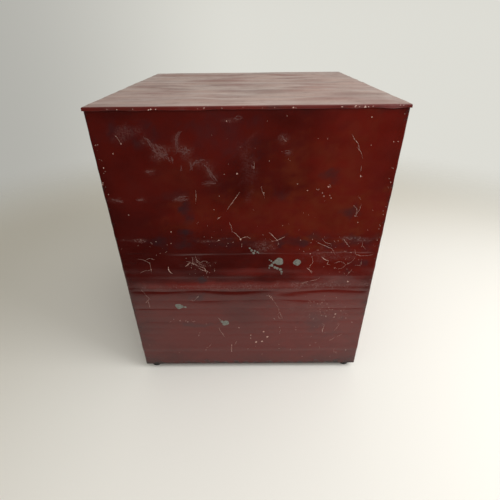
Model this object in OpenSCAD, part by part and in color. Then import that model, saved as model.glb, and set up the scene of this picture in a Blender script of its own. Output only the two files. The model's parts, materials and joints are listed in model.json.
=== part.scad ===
// Coin-operated newspaper vending box of folded sheet steel, standing on four rubber feet.
// The door faces -Y, +Z is up, and the origin is on the floor under the middle of the cabinet.

/* [Cabinet] */
// Outside width of the folded wrap
cab_w = 406; // [390:1:520]
// Outside depth of the folded wrap
cab_d = 416; // [345:1:520]
// Height of the folded wrap, without the feet
cab_h = 470; // [400:1:580]
// Thickness of the cabinet's sheet
sheet = 1; // [0.8:0.1:1.5]
// Outside radius of the wrap's upright bends
bend_r = 2; // [1.6:0.1:4]
// Width of the jambs turned in beside the door opening
jamb_w = 9; // [8:1:14]
// Width of the flanges turned in under the top and over the feet
rim_w = 22; // [20:1:30]
// Height of the edge turned down around the top
lip_h = 3.5; // [3:0.5:10]

/* [Base and feet] */
// Thickness of the base pan
base_t = 1.2; // [1:0.1:2]
// Height of the base pan's upturned edges
base_flange = 20; // [12:1:26]
// Height of the rubber feet
foot_h = 12; // [8:1:20]
// Radius of a foot at its top
foot_r = 10; // [9:0.5:13]
// Distance of a foot's middle from the cabinet's side
foot_in_x = 17; // [15:1:19]
// Distance of a foot's middle from the cabinet's front or back
foot_in_y = 14; // [13:1:19]
// Radius of the foot screws
foot_screw_r = 2; // [1.5:0.1:2.5]
// Spacing of the stand bolts, in both directions
stand_pitch = 240; // [150:1:260]
// Radius of the holes for the stand bolts
stand_hole_r = 4.5; // [3:0.1:6]

/* [Front panels] */
// Height of the header above the door
header_h = 120; // [118:1:150]
// Height of the sill under the door
sill_h = 43; // [38:1:60]
// Thickness of the paper shelf
shelf_t = 1.2; // [1:0.1:2]
// Half of the width between the paper guides
guide_half = 191.5; // [178:0.5:193]
// Height of the paper guides
guide_h = 78; // [40:1:120]
// Depth of the coin compartment's tray
tray_d = 167; // [160:1:200]

/* [Door] */
// Thickness of the door's sheet
door_t = 1.2; // [1:0.1:1.6]
// Depth of the folded door pan
door_depth = 14; // [12:1:22]
// Gap between the door and the jambs, which the bumpers fill
door_gap = 2; // [1.5:0.5:4]
// How far the door opens, in degrees
door_open = 75; // [60:1:80]
// Width of the window opening
win_w = 300; // [200:1:310]
// Height of the window opening
win_h = 190; // [120:1:200]
// Distance of the window opening's upper edge below the door's top edge
win_down = 49.5; // [49:0.5:60]
// Corner radius of the window opening
win_r = 12; // [4:1:30]
// Thickness of the clear pane
pane_t = 3; // [2:0.5:4]
// How far the pane reaches past the opening
pane_over = 12; // [8:1:13]
// Depth of the pocket for the display copy, behind the pane
pocket_d = 12; // [8:1:16]

/* [Handle] */
// Distance between the handle's posts
handle_span = 100; // [80:1:160]
// Radius of the handle's bar
handle_r = 6; // [5:0.5:8]
// Distance of the bar's middle from the door
handle_out = 24; // [20:1:32]
// Distance of the handle below the door's top edge
handle_down = 18.5; // [16:0.5:26]

/* [Hinge, springs and stays] */
// Radius of the hinge knuckles
knuckle_r = 4; // [3.5:0.1:5]
// Radius of the hinge pin
hinge_pin_r = 1.75; // [1.5:0.05:2]
// Number of knuckles, alternately on the cabinet and on the door
knuckles = 13; // [5:2:21]
// Radius of the spring wire
spring_wire_r = 0.8; // [0.6:0.1:0.8]
// Turns of each door spring
spring_turns = 4; // [3:1:5]
// Middle radius of the stay arcs
stay_r = 90; // [70:1:100]
// Width of the stay arcs
stay_w = 12; // [8:1:16]
// Thickness of the stay arcs
stay_t = 2; // [1.5:0.5:2]
// Radius of the stop pin at a stay's end
stop_r = 3; // [2:0.5:4]

/* [Latch] */
// Distance of the latch pivot behind the hook's middle
latch_reach = 92; // [80:1:96]
// How far the hook turns down when it locks, in degrees
latch_turn = 7; // [5:0.5:8]
// Thickness of the latch arm
arm_t = 5; // [4:0.5:6]
// Radius of the latch pivot pin
latch_pin_r = 2.5; // [2:0.1:3]
// Radius of the counterweight
weight_r = 9.4; // [8:0.1:9.6]
// Half length of the counterweight
weight_half = 16; // [10:1:18]
// Thickness of the striker plate
striker_t = 2; // [1.5:0.5:3]

/* [Coin path] */
// Height of the coin slot, a little over the coin's diameter
slot_h = 27; // [24:1:28]
// Width of the coin slot, a little over the coin's thickness
slot_w = 2.6; // [2:0.1:3.5]
// Thickness of the slot plate
slot_plate_t = 2.5; // [1.5:0.5:4]
// How far the coin chute drops towards the back
chute_drop = 12; // [8:1:14]
// Travel of the coin-return button
button_travel = 6; // [4:0.5:6]
// Radius of the coin-return button
button_r = 8.5; // [6:0.5:9]
// Width of the return cup's opening
cup_w = 34; // [28:1:34]
// Height of the return cup's opening
cup_h = 28; // [24:1:28]
// Depth of the return cup
cup_d = 32; // [30:1:40]
// How far the return flap swings in, in degrees
flap_swing = 55; // [30:1:55]

/* [Cash drawer] */
// Width of the drawer's box
drawer_w = 90; // [70:1:92]
// Height of the drawer's sides
drawer_h = 38.5; // [30:0.5:40]
// Depth of the drawer
drawer_d = 146; // [120:1:148]
// Travel of the drawer
drawer_out = 120; // [60:1:120]
// Radius of the lock's barrel
lock_r = 8; // [6:0.5:8]
// Radius of the turning plug
plug_r = 5; // [4:0.5:6]
// Length of the lock's cam from the plug's axis
cam_l = 26; // [24:1:27]

/* [Price card] */
// Width of the card frame
card_w = 100; // [60:1:110]
// Height of the card frame
card_h = 60; // [40:1:70]

/* [Clearances] */
// Gap around sheets that slip into one another
slip = 0.2; // [0.1:0.05:0.3]
// Radial clearance of a pin or a plug that turns
run = 0.05; // [0.02:0.01:0.08]
// Gap around parts that slide
slide_gap = 0.5; // [0.3:0.1:1]

/* [Hidden] */
$fn = 48;
eps = 0.01;

// Planes of the cabinet
side_x = cab_w / 2;
back_y = cab_d / 2;
jamb_y = -cab_d / 2;
bottom_z = foot_h;
top_z = foot_h + cab_h;
in_x = side_x - sheet;
in_back_y = back_y - sheet;
jamb_in_y = jamb_y + sheet;
opening_x = side_x - jamb_w;
face_y = jamb_y - sheet;
header_z = top_z - header_h;
sill_z = bottom_z + sill_h;
shelf_z = sill_z + shelf_t;
pan_y = jamb_in_y + slip + base_t;

// Planes of the door
axis_y = face_y - knuckle_r;
axis_z = sill_z + 1;
door_back_y = jamb_y - door_gap;
door_y = door_back_y - door_depth;
door_in_y = door_y + door_t;
door_half = side_x - 4;
door_z = axis_z + knuckle_r;
door_top_z = header_z - 2.5;
win_z = door_top_z - win_down - win_h / 2;
pane_y = door_in_y + 1.5;
retainer_y = pane_y + pane_t;
pocket_y = retainer_y + 1 + pocket_d;
pocket_half = win_w / 2 + 26;
pocket_bottom_z = win_z - win_h / 2 - 28;
pocket_top_z = win_z + win_h / 2;
handle_z = door_top_z - handle_down;
hinge_half = side_x - 23;
knuckle_l = 2 * hinge_half / knuckles;
stay_x = guide_half;
stop_angle = acos((jamb_in_y - axis_y + stop_r + 0.3) / stay_r) - door_open;
spring_r = hinge_pin_r + spring_wire_r + 0.45;

// Planes of the coin compartment
tray_z = header_z + 1;
tray_floor_z = tray_z + sheet;
tray_back_y = jamb_in_y + tray_d;
hook_y = jamb_y + 12;
pivot_y = hook_y + latch_reach;
pivot_z = tray_floor_z + 14;
latch_slot_y = pivot_y - (pivot_z - 5 - tray_floor_z - 1) / sin(latch_turn);
striker_z = door_top_z - 14.5;
hook_z = striker_z + striker_t + 3;
striker_rivet_z = striker_z - 5;
weight_y = pivot_y + 40;
drawer_x = 26 + drawer_w / 2;
drawer_z = tray_floor_z + 7.5;
drawer_top_z = drawer_z + drawer_h;
drawer_back_y = face_y - slide_gap + drawer_d;
lock_z = drawer_z + 30.5;
barrel_end_y = face_y + 15;
slot_x = drawer_x;
slot_z = top_z - 32;
slot_screw_out = 11;
slot_screw_r = 1.5;
chute_top_z = slot_z + slot_h / 2 + 1;
chute_bottom_z = slot_z - slot_h / 2 - 0.5;
chute_end_y = pivot_y - 1;
paddle_z = drawer_top_z + 5;
cup_x = opening_x - 29;
cup_z = header_z + 24;
cup_rivet_x = cup_w / 2 + 6;
flap_pin_r = 1.05;
flap_y = face_y + 4;
flap_z = cup_z + cup_h / 2 + 2;
button_x = cup_x - 25;
button_z = slot_z;
bracket_y = face_y + 27;
button_rivet_x = 27;
lever_x = button_x - 32;
lever_y = bracket_y + 4;
lever_pin_r = 1.5;
card_x = -opening_x / 2 - 25;
card_z = header_z + header_h / 2;
card_rivet_x = card_w / 2 - 3;

// Where the rivets go
jamb_rivet_x = opening_x + 3.8;
header_rivet_z = [header_z + 12, header_z + header_h / 2, top_z - 14];
sill_rivet_z = [bottom_z + 12, sill_z - 12];
leaf_rivets = [for (i = [1:2:knuckles - 2]) -hinge_half + (i + 0.5) * knuckle_l];
stay_foot_z = axis_z + stay_r;
pocket_rivet_z = [pocket_bottom_z + 18, pocket_top_z - 16];
retainer_rivets = concat(
    [for (x = [-1:1:1], s = [-1, 1]) [x * win_w / 3, win_z + s * (win_h / 2 + 19)]],
    [for (s = [-1, 1]) [s * (win_w / 2 + 19), win_z]]);
feet_at = [for (x = [-1, 1], y = [-1, 1]) [x * (side_x - foot_in_x), y * (back_y - foot_in_y)]];
stand_at = [for (x = [-1, 1], y = [-1, 1]) [x, y] * stand_pitch / 2];

paint = [0.30, 0.06, 0.04];
steel = [0.62, 0.63, 0.64];
zinc = [0.72, 0.71, 0.66];
black = [0.07, 0.07, 0.07];

// A block between two corners
module slab(x0, x1, y0, y1, z0, z1) {
    translate([x0, y0, z0]) cube([x1 - x0, y1 - y0, z1 - z0]);
}

// Round bars along each axis, from one place to another
module bar_x(r, x0, x1, y, z) {
    translate([x0, y, z]) rotate([0, 90, 0]) cylinder(r = r, h = x1 - x0);
}
module bar_y(r, x, y0, y1, z) {
    translate([x, y0, z]) rotate([-90, 0, 0]) cylinder(r = r, h = y1 - y0);
}
module bar_z(r, x, y, z0, z1) {
    translate([x, y, z0]) cylinder(r = r, h = z1 - z0);
}

// A rectangle with round corners, centred
module round_rect(w, h, r) {
    square([w - 2 * r, h], center = true);
    square([w, h - 2 * r], center = true);
    for (x = [-1, 1], y = [-1, 1]) translate([x * (w / 2 - r), y * (h / 2 - r)]) circle(r);
}

// A plate in the XZ plane with round corners, centred on x and z, from y0 to y1
module round_plate(w, h, r, x, z, y0, y1) {
    translate([x, y1, z]) rotate([90, 0, 0]) linear_extrude(y1 - y0) round_rect(w, h, r);
}

// A flat ring in the XZ plane around the window, between two distances from the opening's edge
module window_ring(inner, outer, y0, y1) {
    difference() {
        round_plate(win_w + 2 * outer, win_h + 2 * outer, win_r + outer, 0, win_z, y0, y1);
        round_plate(win_w + 2 * inner, win_h + 2 * inner, win_r + inner, 0, win_z, y0 - 1, y1 + 1);
    }
}

// An outline of [y, z] points, extruded from x0 to x1
module plate_yz(points, x0, x1) {
    translate([x0, 0, 0]) rotate([90, 0, 90]) linear_extrude(x1 - x0) polygon(points);
}

// An outline of [x, z] points, extruded from y0 to y1
module plate_xz(points, y0, y1) {
    translate([0, y1, 0]) rotate([90, 0, 0]) linear_extrude(y1 - y0) polygon(points);
}

// A hexagon nut along +Y or +Z, with its hole
module nut(across, h, hole_r) {
    difference() {
        cylinder(d = across / cos(30), h = h, $fn = 6);
        translate([0, 0, -1]) cylinder(r = hole_r, h = h + 2);
    }
}

// A rivet along Y, with its head in front of y0 and its tail behind y1
rivet_r = 1.6;
module rivet_y(x, z, y0, y1) {
    bar_y(3, x, y0 - 1.1, y0, z);
    bar_y(rivet_r, x, y0 - eps, y1 + eps, z);
    bar_y(2.4, x, y1, y1 + 1, z);
}
module rivet_hole_y(x, z, y0, y1) {
    bar_y(rivet_r + run, x, y0 - 1, y1 + 1, z);
}

// A rivet along Z, with its head under z0 and its tail over z1
module rivet_z(x, y, z0, z1) {
    bar_z(2.4, x, y, z0 - 0.9, z0);
    bar_z(rivet_r, x, y, z0 - eps, z1 + eps);
    bar_z(2.2, x, y, z1, z1 + 0.9);
}
module rivet_hole_z(x, y, z0, z1) {
    bar_z(rivet_r + run, x, y, z0 - 1, z1 + 1);
}

// Wire along a path of points that never runs along the axis given
function unit(v) = v / norm(v);
function ring_at(p, t, axis, r, n) =
    let (u = unit(cross(t, axis)), v = unit(cross(t, u)))
    [for (k = [0:n - 1]) p + r * (u * cos(360 * k / n) + v * sin(360 * k / n))];
function heading(path, i) =
    path[min(i + 1, len(path) - 1)] - path[max(i - 1, 0)];
module wire(path, r, axis, n = 8) {
    rings = len(path);
    points = [for (i = [0:rings - 1]) each ring_at(path[i], heading(path, i), axis, r, n)];
    sides = [for (i = [0:rings - 2], k = [0:n - 1])
        [i * n + k, i * n + (k + 1) % n, (i + 1) * n + (k + 1) % n, (i + 1) * n + k]];
    ends = [[for (k = [n - 1:-1:0]) k], [for (k = [0:n - 1]) (rings - 1) * n + k]];
    polyhedron(points, concat(sides, ends), convexity = 10);
}

// ---- Cabinet ----

// Back, two sides and both jambs are one folded sheet, with flanges turned in at top and bottom
module cabinet_wrap() color(paint) difference() {
    union() {
        translate([0, 0, bottom_z]) linear_extrude(cab_h) difference() {
            round_rect(cab_w, cab_d, bend_r);
            round_rect(cab_w - 2 * sheet, cab_d - 2 * sheet, bend_r - sheet);
            translate([-opening_x, jamb_y - 1]) square([2 * opening_x, rim_w]);
        }
        for (z = [bottom_z, top_z - sheet]) {
            slab(-in_x, in_x, in_back_y - rim_w, in_back_y, z, z + sheet);
            for (s = [-1, 1]) slab(s > 0 ? in_x - rim_w : -in_x, s > 0 ? in_x : rim_w - in_x,
                jamb_in_y, in_back_y, z, z + sheet);
        }
    }
    for (p = feet_at) bar_z(foot_screw_r + run, p[0], p[1], bottom_z - 1, bottom_z + sheet + 1);
    for (s = [-1, 1], z = concat(header_rivet_z, sill_rivet_z))
        rivet_hole_y(s * jamb_rivet_x, z, jamb_y, jamb_in_y);
}

// The top lies on the wrap's flanges, and its edge is turned down outside the walls
module top_panel() color(paint) {
    out = slip + sheet;
    difference() {
        slab(-side_x - out, side_x + out, face_y - out, back_y + out, top_z - lip_h, top_z + sheet);
        slab(-side_x - slip, side_x + slip, face_y - slip, back_y + slip, top_z - lip_h - 1, top_z);
    }
}

module base_pan() color(paint) {
    x = 2 * (in_x - slip);
    y = 2 * (in_back_y - slip);
    z = bottom_z + sheet;
    difference() {
        translate([0, 0, z]) linear_extrude(base_t + base_flange) round_rect(x, y, bend_r);
        translate([0, 0, z + base_t]) linear_extrude(base_flange + 1)
            round_rect(x - 2 * base_t, y - 2 * base_t, bend_r - 1);
        for (s = [-1, 1]) rivet_hole_y(s * jamb_rivet_x, sill_rivet_z[0], -y / 2, pan_y);
        for (p = feet_at) bar_z(foot_screw_r + run, p[0], p[1], z - 1, z + base_t + 1);
        for (p = stand_at) bar_z(stand_hole_r, p[0], p[1], z - 1, z + base_t + 1);
    }
}

// Header above the door, with the openings of the coin works and a flange under the top
module header_panel() color(paint) difference() {
    union() {
        slab(-side_x + 0.5, side_x - 0.5, face_y, jamb_y, header_z, top_z - slip);
        slab(rim_w + 1 - in_x, in_x - rim_w - 1, jamb_y - eps, jamb_y + rim_w, top_z - sheet - slip,
            top_z - slip);
    }
    for (s = [-1, 1], z = header_rivet_z) rivet_hole_y(s * jamb_rivet_x, z, face_y, jamb_y);
    // Drawer
    slab(drawer_x - drawer_w / 2 - 1, drawer_x + drawer_w / 2 + 1, face_y - 1, jamb_y + 1,
        drawer_z - 1, lock_z + 16);
    // Coin slot and its screws
    slab(slot_x - slot_w / 2 - slide_gap, slot_x + slot_w / 2 + slide_gap, face_y - 1, jamb_y + 1,
        slot_z - slot_h / 2 - 1, slot_z + slot_h / 2 + 1);
    slot_screw_holes(face_y - 1, jamb_y + 1);
    // Return button and return cup
    bar_y(button_r + slide_gap, button_x, face_y - 1, jamb_y + 1, button_z);
    slab(cup_x - cup_w / 2, cup_x + cup_w / 2, face_y - 1, jamb_y + 1, cup_z - cup_h / 2, cup_z + cup_h / 2);
    for (s = [-1, 1]) rivet_hole_y(cup_x + s * cup_rivet_x, cup_z, face_y, jamb_y);
    for (p = bracket_rivets()) rivet_hole_y(p[0], p[1], face_y, jamb_y);
    for (s = [-1, 1]) rivet_hole_y(card_x + s * card_rivet_x, card_z, face_y, jamb_y);
}

// Rivets of the button bracket, the lock keeper and the return trough, as [x, z]
function bracket_rivets() = [
    [button_x - button_rivet_x, button_z - 6], [button_x + button_rivet_x, button_z - 6],
    [drawer_x - keeper_rivet_x, keeper_z + 6], [drawer_x + keeper_rivet_x, keeper_z + 6],
    [trough_tab_x, trough_tab_z + 7]];
keeper_z = lock_z + 22;
keeper_half = 24.5;
keeper_rivet_x = keeper_half - 4;
trough_tab_x = drawer_x + 31;
trough_tab_z = drawer_top_z + 20;

// Sill under the door, bent back at its foot and under the shelf's front edge
module sill_panel() color(paint) difference() {
    union() {
        slab(-side_x + 0.5, side_x - 0.5, face_y, jamb_y, bottom_z, sill_z);
        slab(rim_w + 1 - in_x, in_x - rim_w - 1, jamb_y - eps, jamb_y + rim_w, bottom_z, bottom_z + sheet);
        slab(4 - guide_half, guide_half - 4, jamb_y - eps, jamb_y + 12, sill_z - sheet, sill_z);
    }
    for (s = [-1, 1], z = sill_rivet_z) rivet_hole_y(s * jamb_rivet_x, z, face_y, jamb_y);
    for (x = leaf_rivets) rivet_hole_y(x, leaf_rivet_z, face_y, jamb_y);
}

// Raised floor that the papers lie on, an inverted channel that stands on the base pan
module paper_shelf() color(steel) {
    x = guide_half - 1.5;
    y = in_back_y - slip - base_t - 0.5;
    z = bottom_z + sheet + base_t;
    slab(-x, x, -y, y, sill_z, shelf_z);
    leg = back_y - foot_in_y - 7;
    for (s = [-1, 1]) slab(s > 0 ? x - shelf_t : -x, s > 0 ? x : shelf_t - x, -leg, leg, z, sill_z + eps);
}

// Guides welded to the sides, which keep the stack of papers clear of the jambs and stays
module paper_guides() color(steel) for (s = [-1, 1]) {
    y0 = axis_y + stay_r + stay_w / 2 + 10;
    y1 = in_back_y - 50;
    z0 = shelf_z + 6;
    z1 = z0 + guide_h;
    mirror([s > 0 ? 0 : 1, 0, 0]) {
        slab(guide_half, guide_half + 1, y0, y1, z0, z1);
        slab(guide_half + 1 - eps, in_x, y0, y1, z1 - 1, z1);
        slab(in_x - 1, in_x, y0, y1, z1 - eps, z1 + 15);
    }
}

// Tray that closes the coin compartment off from the papers
module mech_tray() color(steel) {
    x = in_x - slip;
    difference() {
        union() {
            slab(-x, x, jamb_in_y + 1.5, tray_back_y, tray_z, tray_floor_z);
            slab(0.5 - opening_x, opening_x - 0.5, jamb_y, jamb_in_y + 2, tray_z, tray_floor_z);
            slab(-x, x, tray_back_y - sheet, tray_back_y, tray_z, top_z - 5);
            for (s = [-1, 1]) slab(s > 0 ? x - sheet : -x, s > 0 ? x : sheet - x,
                jamb_in_y + 1.5, tray_back_y, tray_z, tray_z + 15);
        }
        slab(-arm_t / 2 - 2.5, arm_t / 2 + 2.5, hook_y - 8, latch_slot_y, tray_z - 1, tray_floor_z + 1);
        for (p = latch_rivets_at) rivet_hole_z(p[0], p[1], tray_z, tray_floor_z);
    }
}
latch_rivets_at = [for (s = [-1, 1], y = [-6, 6]) [s * 14, pivot_y + y]];

module rubber_feet() color(black) for (p = feet_at) translate([p[0], p[1], 0]) difference() {
    cylinder(r1 = foot_r - 1, r2 = foot_r, h = foot_h);
    translate([0, 0, -1]) cylinder(r = foot_screw_r + run, h = foot_h + 2);
    translate([0, 0, -1]) cylinder(r = foot_screw_r * 2 + 1, h = 5);
}

module foot_screws() color(zinc) for (p = feet_at) {
    bar_z(foot_screw_r * 2, p[0], p[1], 4 - foot_screw_r, 4);
    bar_z(foot_screw_r, p[0], p[1], 4 - eps, bottom_z + sheet + base_t + 5);
}

module foot_nuts() color(zinc) for (p = feet_at)
    translate([p[0], p[1], bottom_z + sheet + base_t]) nut(7, 3.2, foot_screw_r + run);

// Rivets of the header, sill, hinge leaf, cup, brackets, card frame and latch bracket
module cabinet_rivets() color(steel) {
    for (s = [-1, 1]) {
        x = s * jamb_rivet_x;
        for (z = concat(header_rivet_z, sill_rivet_z[1])) rivet_y(x, z, face_y, jamb_in_y);
        rivet_y(x, sill_rivet_z[0], face_y, pan_y);
    }
    for (x = leaf_rivets) rivet_y(x, leaf_rivet_z, face_y - 1, jamb_y);
    for (s = [-1, 1]) rivet_y(cup_x + s * cup_rivet_x, cup_z, face_y, jamb_in_y);
    for (p = bracket_rivets()) rivet_y(p[0], p[1], face_y, jamb_in_y + slip);
    for (s = [-1, 1]) rivet_y(card_x + s * card_rivet_x, card_z, face_y - 2.5, jamb_y);
    for (p = latch_rivets_at) rivet_z(p[0], p[1], tray_z, tray_floor_z + 1.5);
}

// Rubber stops on the jambs that the closed door rests on
module door_bumpers() color(black) for (s = [-1, 1], z = [door_z + 50, door_top_z - 30])
    bar_y(3.5, s * (side_x - 5), door_back_y, jamb_y, z);

// ---- Hinge and springs ----
leaf_rivet_z = sill_z - 14;

// One leaf's knuckles: every second one, starting at first
module knuckle_row(first) for (i = [first:2:knuckles - 1])
    bar_x(knuckle_r, -hinge_half + i * knuckle_l + 0.2, -hinge_half + (i + 1) * knuckle_l - 0.2,
        axis_y, axis_z);

module hinge_bore() bar_x(hinge_pin_r + run, -side_x, side_x, axis_y, axis_z);

module hinge_cabinet_leaf() color(steel) difference() {
    union() {
        slab(-hinge_half, hinge_half, face_y - 1, face_y, sill_z - 24, axis_z - knuckle_r - slide_gap);
        knuckle_row(0);
        for (i = [0:2:knuckles - 1]) slab(-hinge_half + i * knuckle_l + 0.2,
            -hinge_half + (i + 1) * knuckle_l - 0.2, face_y - 1, face_y, sill_z - 24, axis_z);
    }
    hinge_bore();
    for (x = leaf_rivets) rivet_hole_y(x, leaf_rivet_z, face_y - 1, face_y);
}

module hinge_door_leaf() color(steel) difference() {
    union() {
        slab(-hinge_half, hinge_half, door_in_y + 0.3, axis_y - knuckle_r - slide_gap, door_z - 1, door_z);
        knuckle_row(1);
        for (i = [1:2:knuckles - 1]) slab(-hinge_half + i * knuckle_l + 0.2,
            -hinge_half + (i + 1) * knuckle_l - 0.2, door_in_y + 0.3, axis_y, door_z - 1, door_z);
    }
    hinge_bore();
    for (x = leaf_rivets) rivet_hole_z(x, door_rivet_y, door_z - 1, door_z);
}
door_rivet_y = axis_y - knuckle_r - 2.7;

module hinge_pin() color(steel)
    bar_x(hinge_pin_r, -side_x + 11, side_x - 11, axis_y, axis_z);

// Torsion spring around each end of the pin: one leg on the sill, the other inside the door
function door_spring_path(steps) = let (x0 = hinge_half + 3, pitch = 2 * spring_wire_r + 0.2)
    concat(
        [[x0, axis_y + spring_r, axis_z - 22]],
        [for (i = [0:steps * (spring_turns + 0.5)]) let (a = 360 * i / steps)
            [x0 + pitch * i / steps, axis_y + spring_r * cos(a), axis_z + spring_r * sin(a)]],
        [[x0 + pitch * (spring_turns + 0.5) + 0.1, door_in_y + spring_wire_r + 0.3, axis_z + 26]]);
module door_springs() color(steel) for (s = [0, 1]) mirror([s, 0, 0])
    wire(door_spring_path(16), spring_wire_r, [1, 0, 0]);

// ---- Coin works on the header ----
module price_card_frame() color(steel) difference() {
    round_plate(card_w, card_h, 3, card_x, card_z, face_y - 2.5, face_y);
    round_plate(card_w - 18, card_h - 12, 2, card_x, card_z, face_y - 3, face_y + 1);
    slab(card_x - card_w / 2 + 6, card_x + card_w / 2 - 6, face_y - 1, face_y + 1,
        card_z - card_h / 2 + 3, card_z + card_h / 2 + 1);
    for (s = [-1, 1]) rivet_hole_y(card_x + s * card_rivet_x, card_z, face_y - 2.5, face_y);
}

module price_card() color("white") slab(card_x - card_w / 2 + 6.5, card_x + card_w / 2 - 6.5,
    face_y - 0.8, face_y, card_z - card_h / 2 + 3.5, card_z + card_h / 2 - 1);

module coin_slot_plate() color(zinc) difference() {
    round_plate(34, slot_h + 19, 5, slot_x, slot_z, face_y - slot_plate_t, face_y);
    slab(slot_x - slot_w / 2, slot_x + slot_w / 2, face_y - slot_plate_t - 1, face_y + 1,
        slot_z - slot_h / 2, slot_z + slot_h / 2);
    slot_screw_holes(face_y - slot_plate_t - 1, face_y + 1);
}

module slot_screw_holes(y0, y1) {
    for (s = [-1, 1]) bar_y(slot_screw_r + 2 * run, slot_x + s * slot_screw_out, y0, y1, slot_z);
}

module slot_screws() color(zinc) for (s = [-1, 1]) {
    bar_y(2.8, slot_x + s * slot_screw_out, face_y - slot_plate_t - 1.5, face_y - slot_plate_t, slot_z);
    bar_y(slot_screw_r, slot_x + s * slot_screw_out, face_y - slot_plate_t - eps, jamb_y + 5, slot_z);
}

module slot_nuts() color(zinc) for (s = [-1, 1])
    translate([slot_x + s * slot_screw_out, jamb_y + sheet, slot_z]) rotate([-90, 0, 0])
        nut(5.5, 2.4, slot_screw_r + run);

// Channel that the coin rolls down on its edge, hung on the header by its front flange
module coin_chute() color(steel) {
    y0 = jamb_y + sheet;
    difference() {
        union() {
            plate_yz([[y0 - eps, chute_bottom_z - 1], [chute_end_y, chute_bottom_z - 1 - chute_drop],
                [chute_end_y, chute_top_z - chute_drop], [y0 - eps, chute_top_z]],
                slot_x - slot_w / 2 - 1, slot_x + slot_w / 2 + 1);
            slab(slot_x - 16, slot_x + 16, jamb_y, y0, slot_z - 16, slot_z + 16);
        }
        plate_yz([[jamb_y - 1, chute_bottom_z], [y0, chute_bottom_z],
            [chute_end_y + 1, chute_bottom_z - chute_drop], [chute_end_y + 1, chute_top_z + 9],
            [y0, chute_top_z + 9], [y0, chute_top_z - 1], [jamb_y - 1, chute_top_z - 1]],
            slot_x - slot_w / 2, slot_x + slot_w / 2);
        slot_screw_holes(jamb_y - 1, y0 + 1);
    }
}

// Sloping trough that takes a refused coin over the drawer to the cup
module return_trough() color(steel) {
    x0 = slot_x + 6;
    x1 = cup_x - cup_w / 2 + 4;
    z0 = drawer_top_z + 20;
    z1 = cup_z + cup_h / 2 + 8;
    y0 = jamb_y + 12;
    difference() {
        plate_xz([[x0, z0], [x1, z1], [x1, z1 + 9], [x0, z0 + 9]], y0, y0 + 12);
        plate_xz([[x0 - 1, z0 + 1.3], [x1 + 1, z1 + 0.7], [x1 + 1, z1 + 20], [x0 - 1, z0 + 20]],
            y0 + 1, y0 + 11);
    }
    slab(trough_tab_x - 6, trough_tab_x + 6, jamb_y + 1 - eps, y0 + eps, trough_tab_z - 1, trough_tab_z);
    difference() {
        slab(trough_tab_x - 6, trough_tab_x + 6, jamb_y, jamb_y + sheet, trough_tab_z - 1,
            trough_tab_z + 12);
        rivet_hole_y(trough_tab_x, trough_tab_z + 7, jamb_y, jamb_y + sheet);
    }
}

module return_cup() color(steel) {
    x0 = cup_x - cup_w / 2 - 2;
    x1 = cup_x + cup_w / 2 + 2;
    z0 = cup_z - cup_h / 2 - 4;
    z1 = cup_z + cup_h / 2 + 4;
    difference() {
        union() {
            slab(x0, x1, jamb_y, jamb_y + cup_d, z0, z1);
            for (s = [-1, 1]) slab(cup_x + s * cup_rivet_x - 4, cup_x + s * cup_rivet_x + 4,
                jamb_y, jamb_y + sheet, cup_z - 8, cup_z + 8);
        }
        slab(x0 + 1, x1 - 1, jamb_y - 1, jamb_y + cup_d - 1, z0 + 1, z1 + 1);
        bar_x(flap_pin_r + run, x0 - 1, x1 + 1, flap_y, flap_z);
        for (s = [-1, 1]) rivet_hole_y(cup_x + s * cup_rivet_x, cup_z, jamb_y, jamb_y + sheet);
    }
}

module flap_pin() color(steel) {
    bar_x(flap_pin_r, cup_x - cup_w / 2 - 4, cup_x + cup_w / 2 + 4, flap_y, flap_z);
    for (s = [-1, 1]) bar_x(1.8, cup_x + s * (cup_w / 2 + 3.5) - 0.5, cup_x + s * (cup_w / 2 + 3.5) + 0.5,
        flap_y, flap_z);
}

module return_flap() color(zinc) difference() {
    union() {
        bar_x(2.1, cup_x - cup_w / 2 - 0.2, cup_x + cup_w / 2 + 0.2, flap_y, flap_z);
        slab(cup_x - cup_w / 2 - 0.2, cup_x + cup_w / 2 + 0.2, flap_y - 1.5, flap_y - 0.5,
            cup_z - cup_h / 2 - 1, flap_z);
    }
    bar_x(flap_pin_r + run, cup_x - cup_w, cup_x + cup_w, flap_y, flap_z);
}

module button_bezel() color(zinc) difference() {
    bar_y(button_r + 4, button_x, face_y - 2.5, face_y, button_z);
    bar_y(button_r + slide_gap, button_x, face_y - 3.5, face_y + 1, button_z);
}

// Bridge behind the button: it guides the stem and carries the lever's pin
module button_bracket() color(steel) difference() {
    union() {
        slab(button_x - 22, button_x + 22, bracket_y, bracket_y + 1.2, button_z - 12, button_z + 12);
        for (s = [-1, 1]) {
            slab(button_x + s * 21.4 - 0.6, button_x + s * 21.4 + 0.6, jamb_y, bracket_y + 1,
                button_z - 12, button_z + 12);
            slab(button_x + s * 26.9 - 5.1, button_x + s * 26.9 + 5.1, jamb_y, jamb_y + 1.2,
                button_z - 12, button_z);
        }
        for (z = [button_z - 9, button_z + 7.8])
            slab(lever_x - 5, button_x - 21, bracket_y - 1.2, lever_y + 5, z, z + 1.2);
    }
    bar_y(2.5 + slide_gap, button_x, bracket_y - 1, bracket_y + 2, button_z);
    bar_z(lever_pin_r + run, lever_x, lever_y, button_z - 20, button_z + 20);
    for (s = [-1, 1]) rivet_hole_y(button_x + s * button_rivet_x, button_z - 6, jamb_y, jamb_y + 1.2);
}

module lever_pin() color(steel) {
    bar_z(lever_pin_r, lever_x, lever_y, button_z - 10.5, button_z + 10.5);
    for (z = [button_z - 10.5, button_z + 9.5]) bar_z(2.5, lever_x, lever_y, z, z + 1);
}

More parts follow.
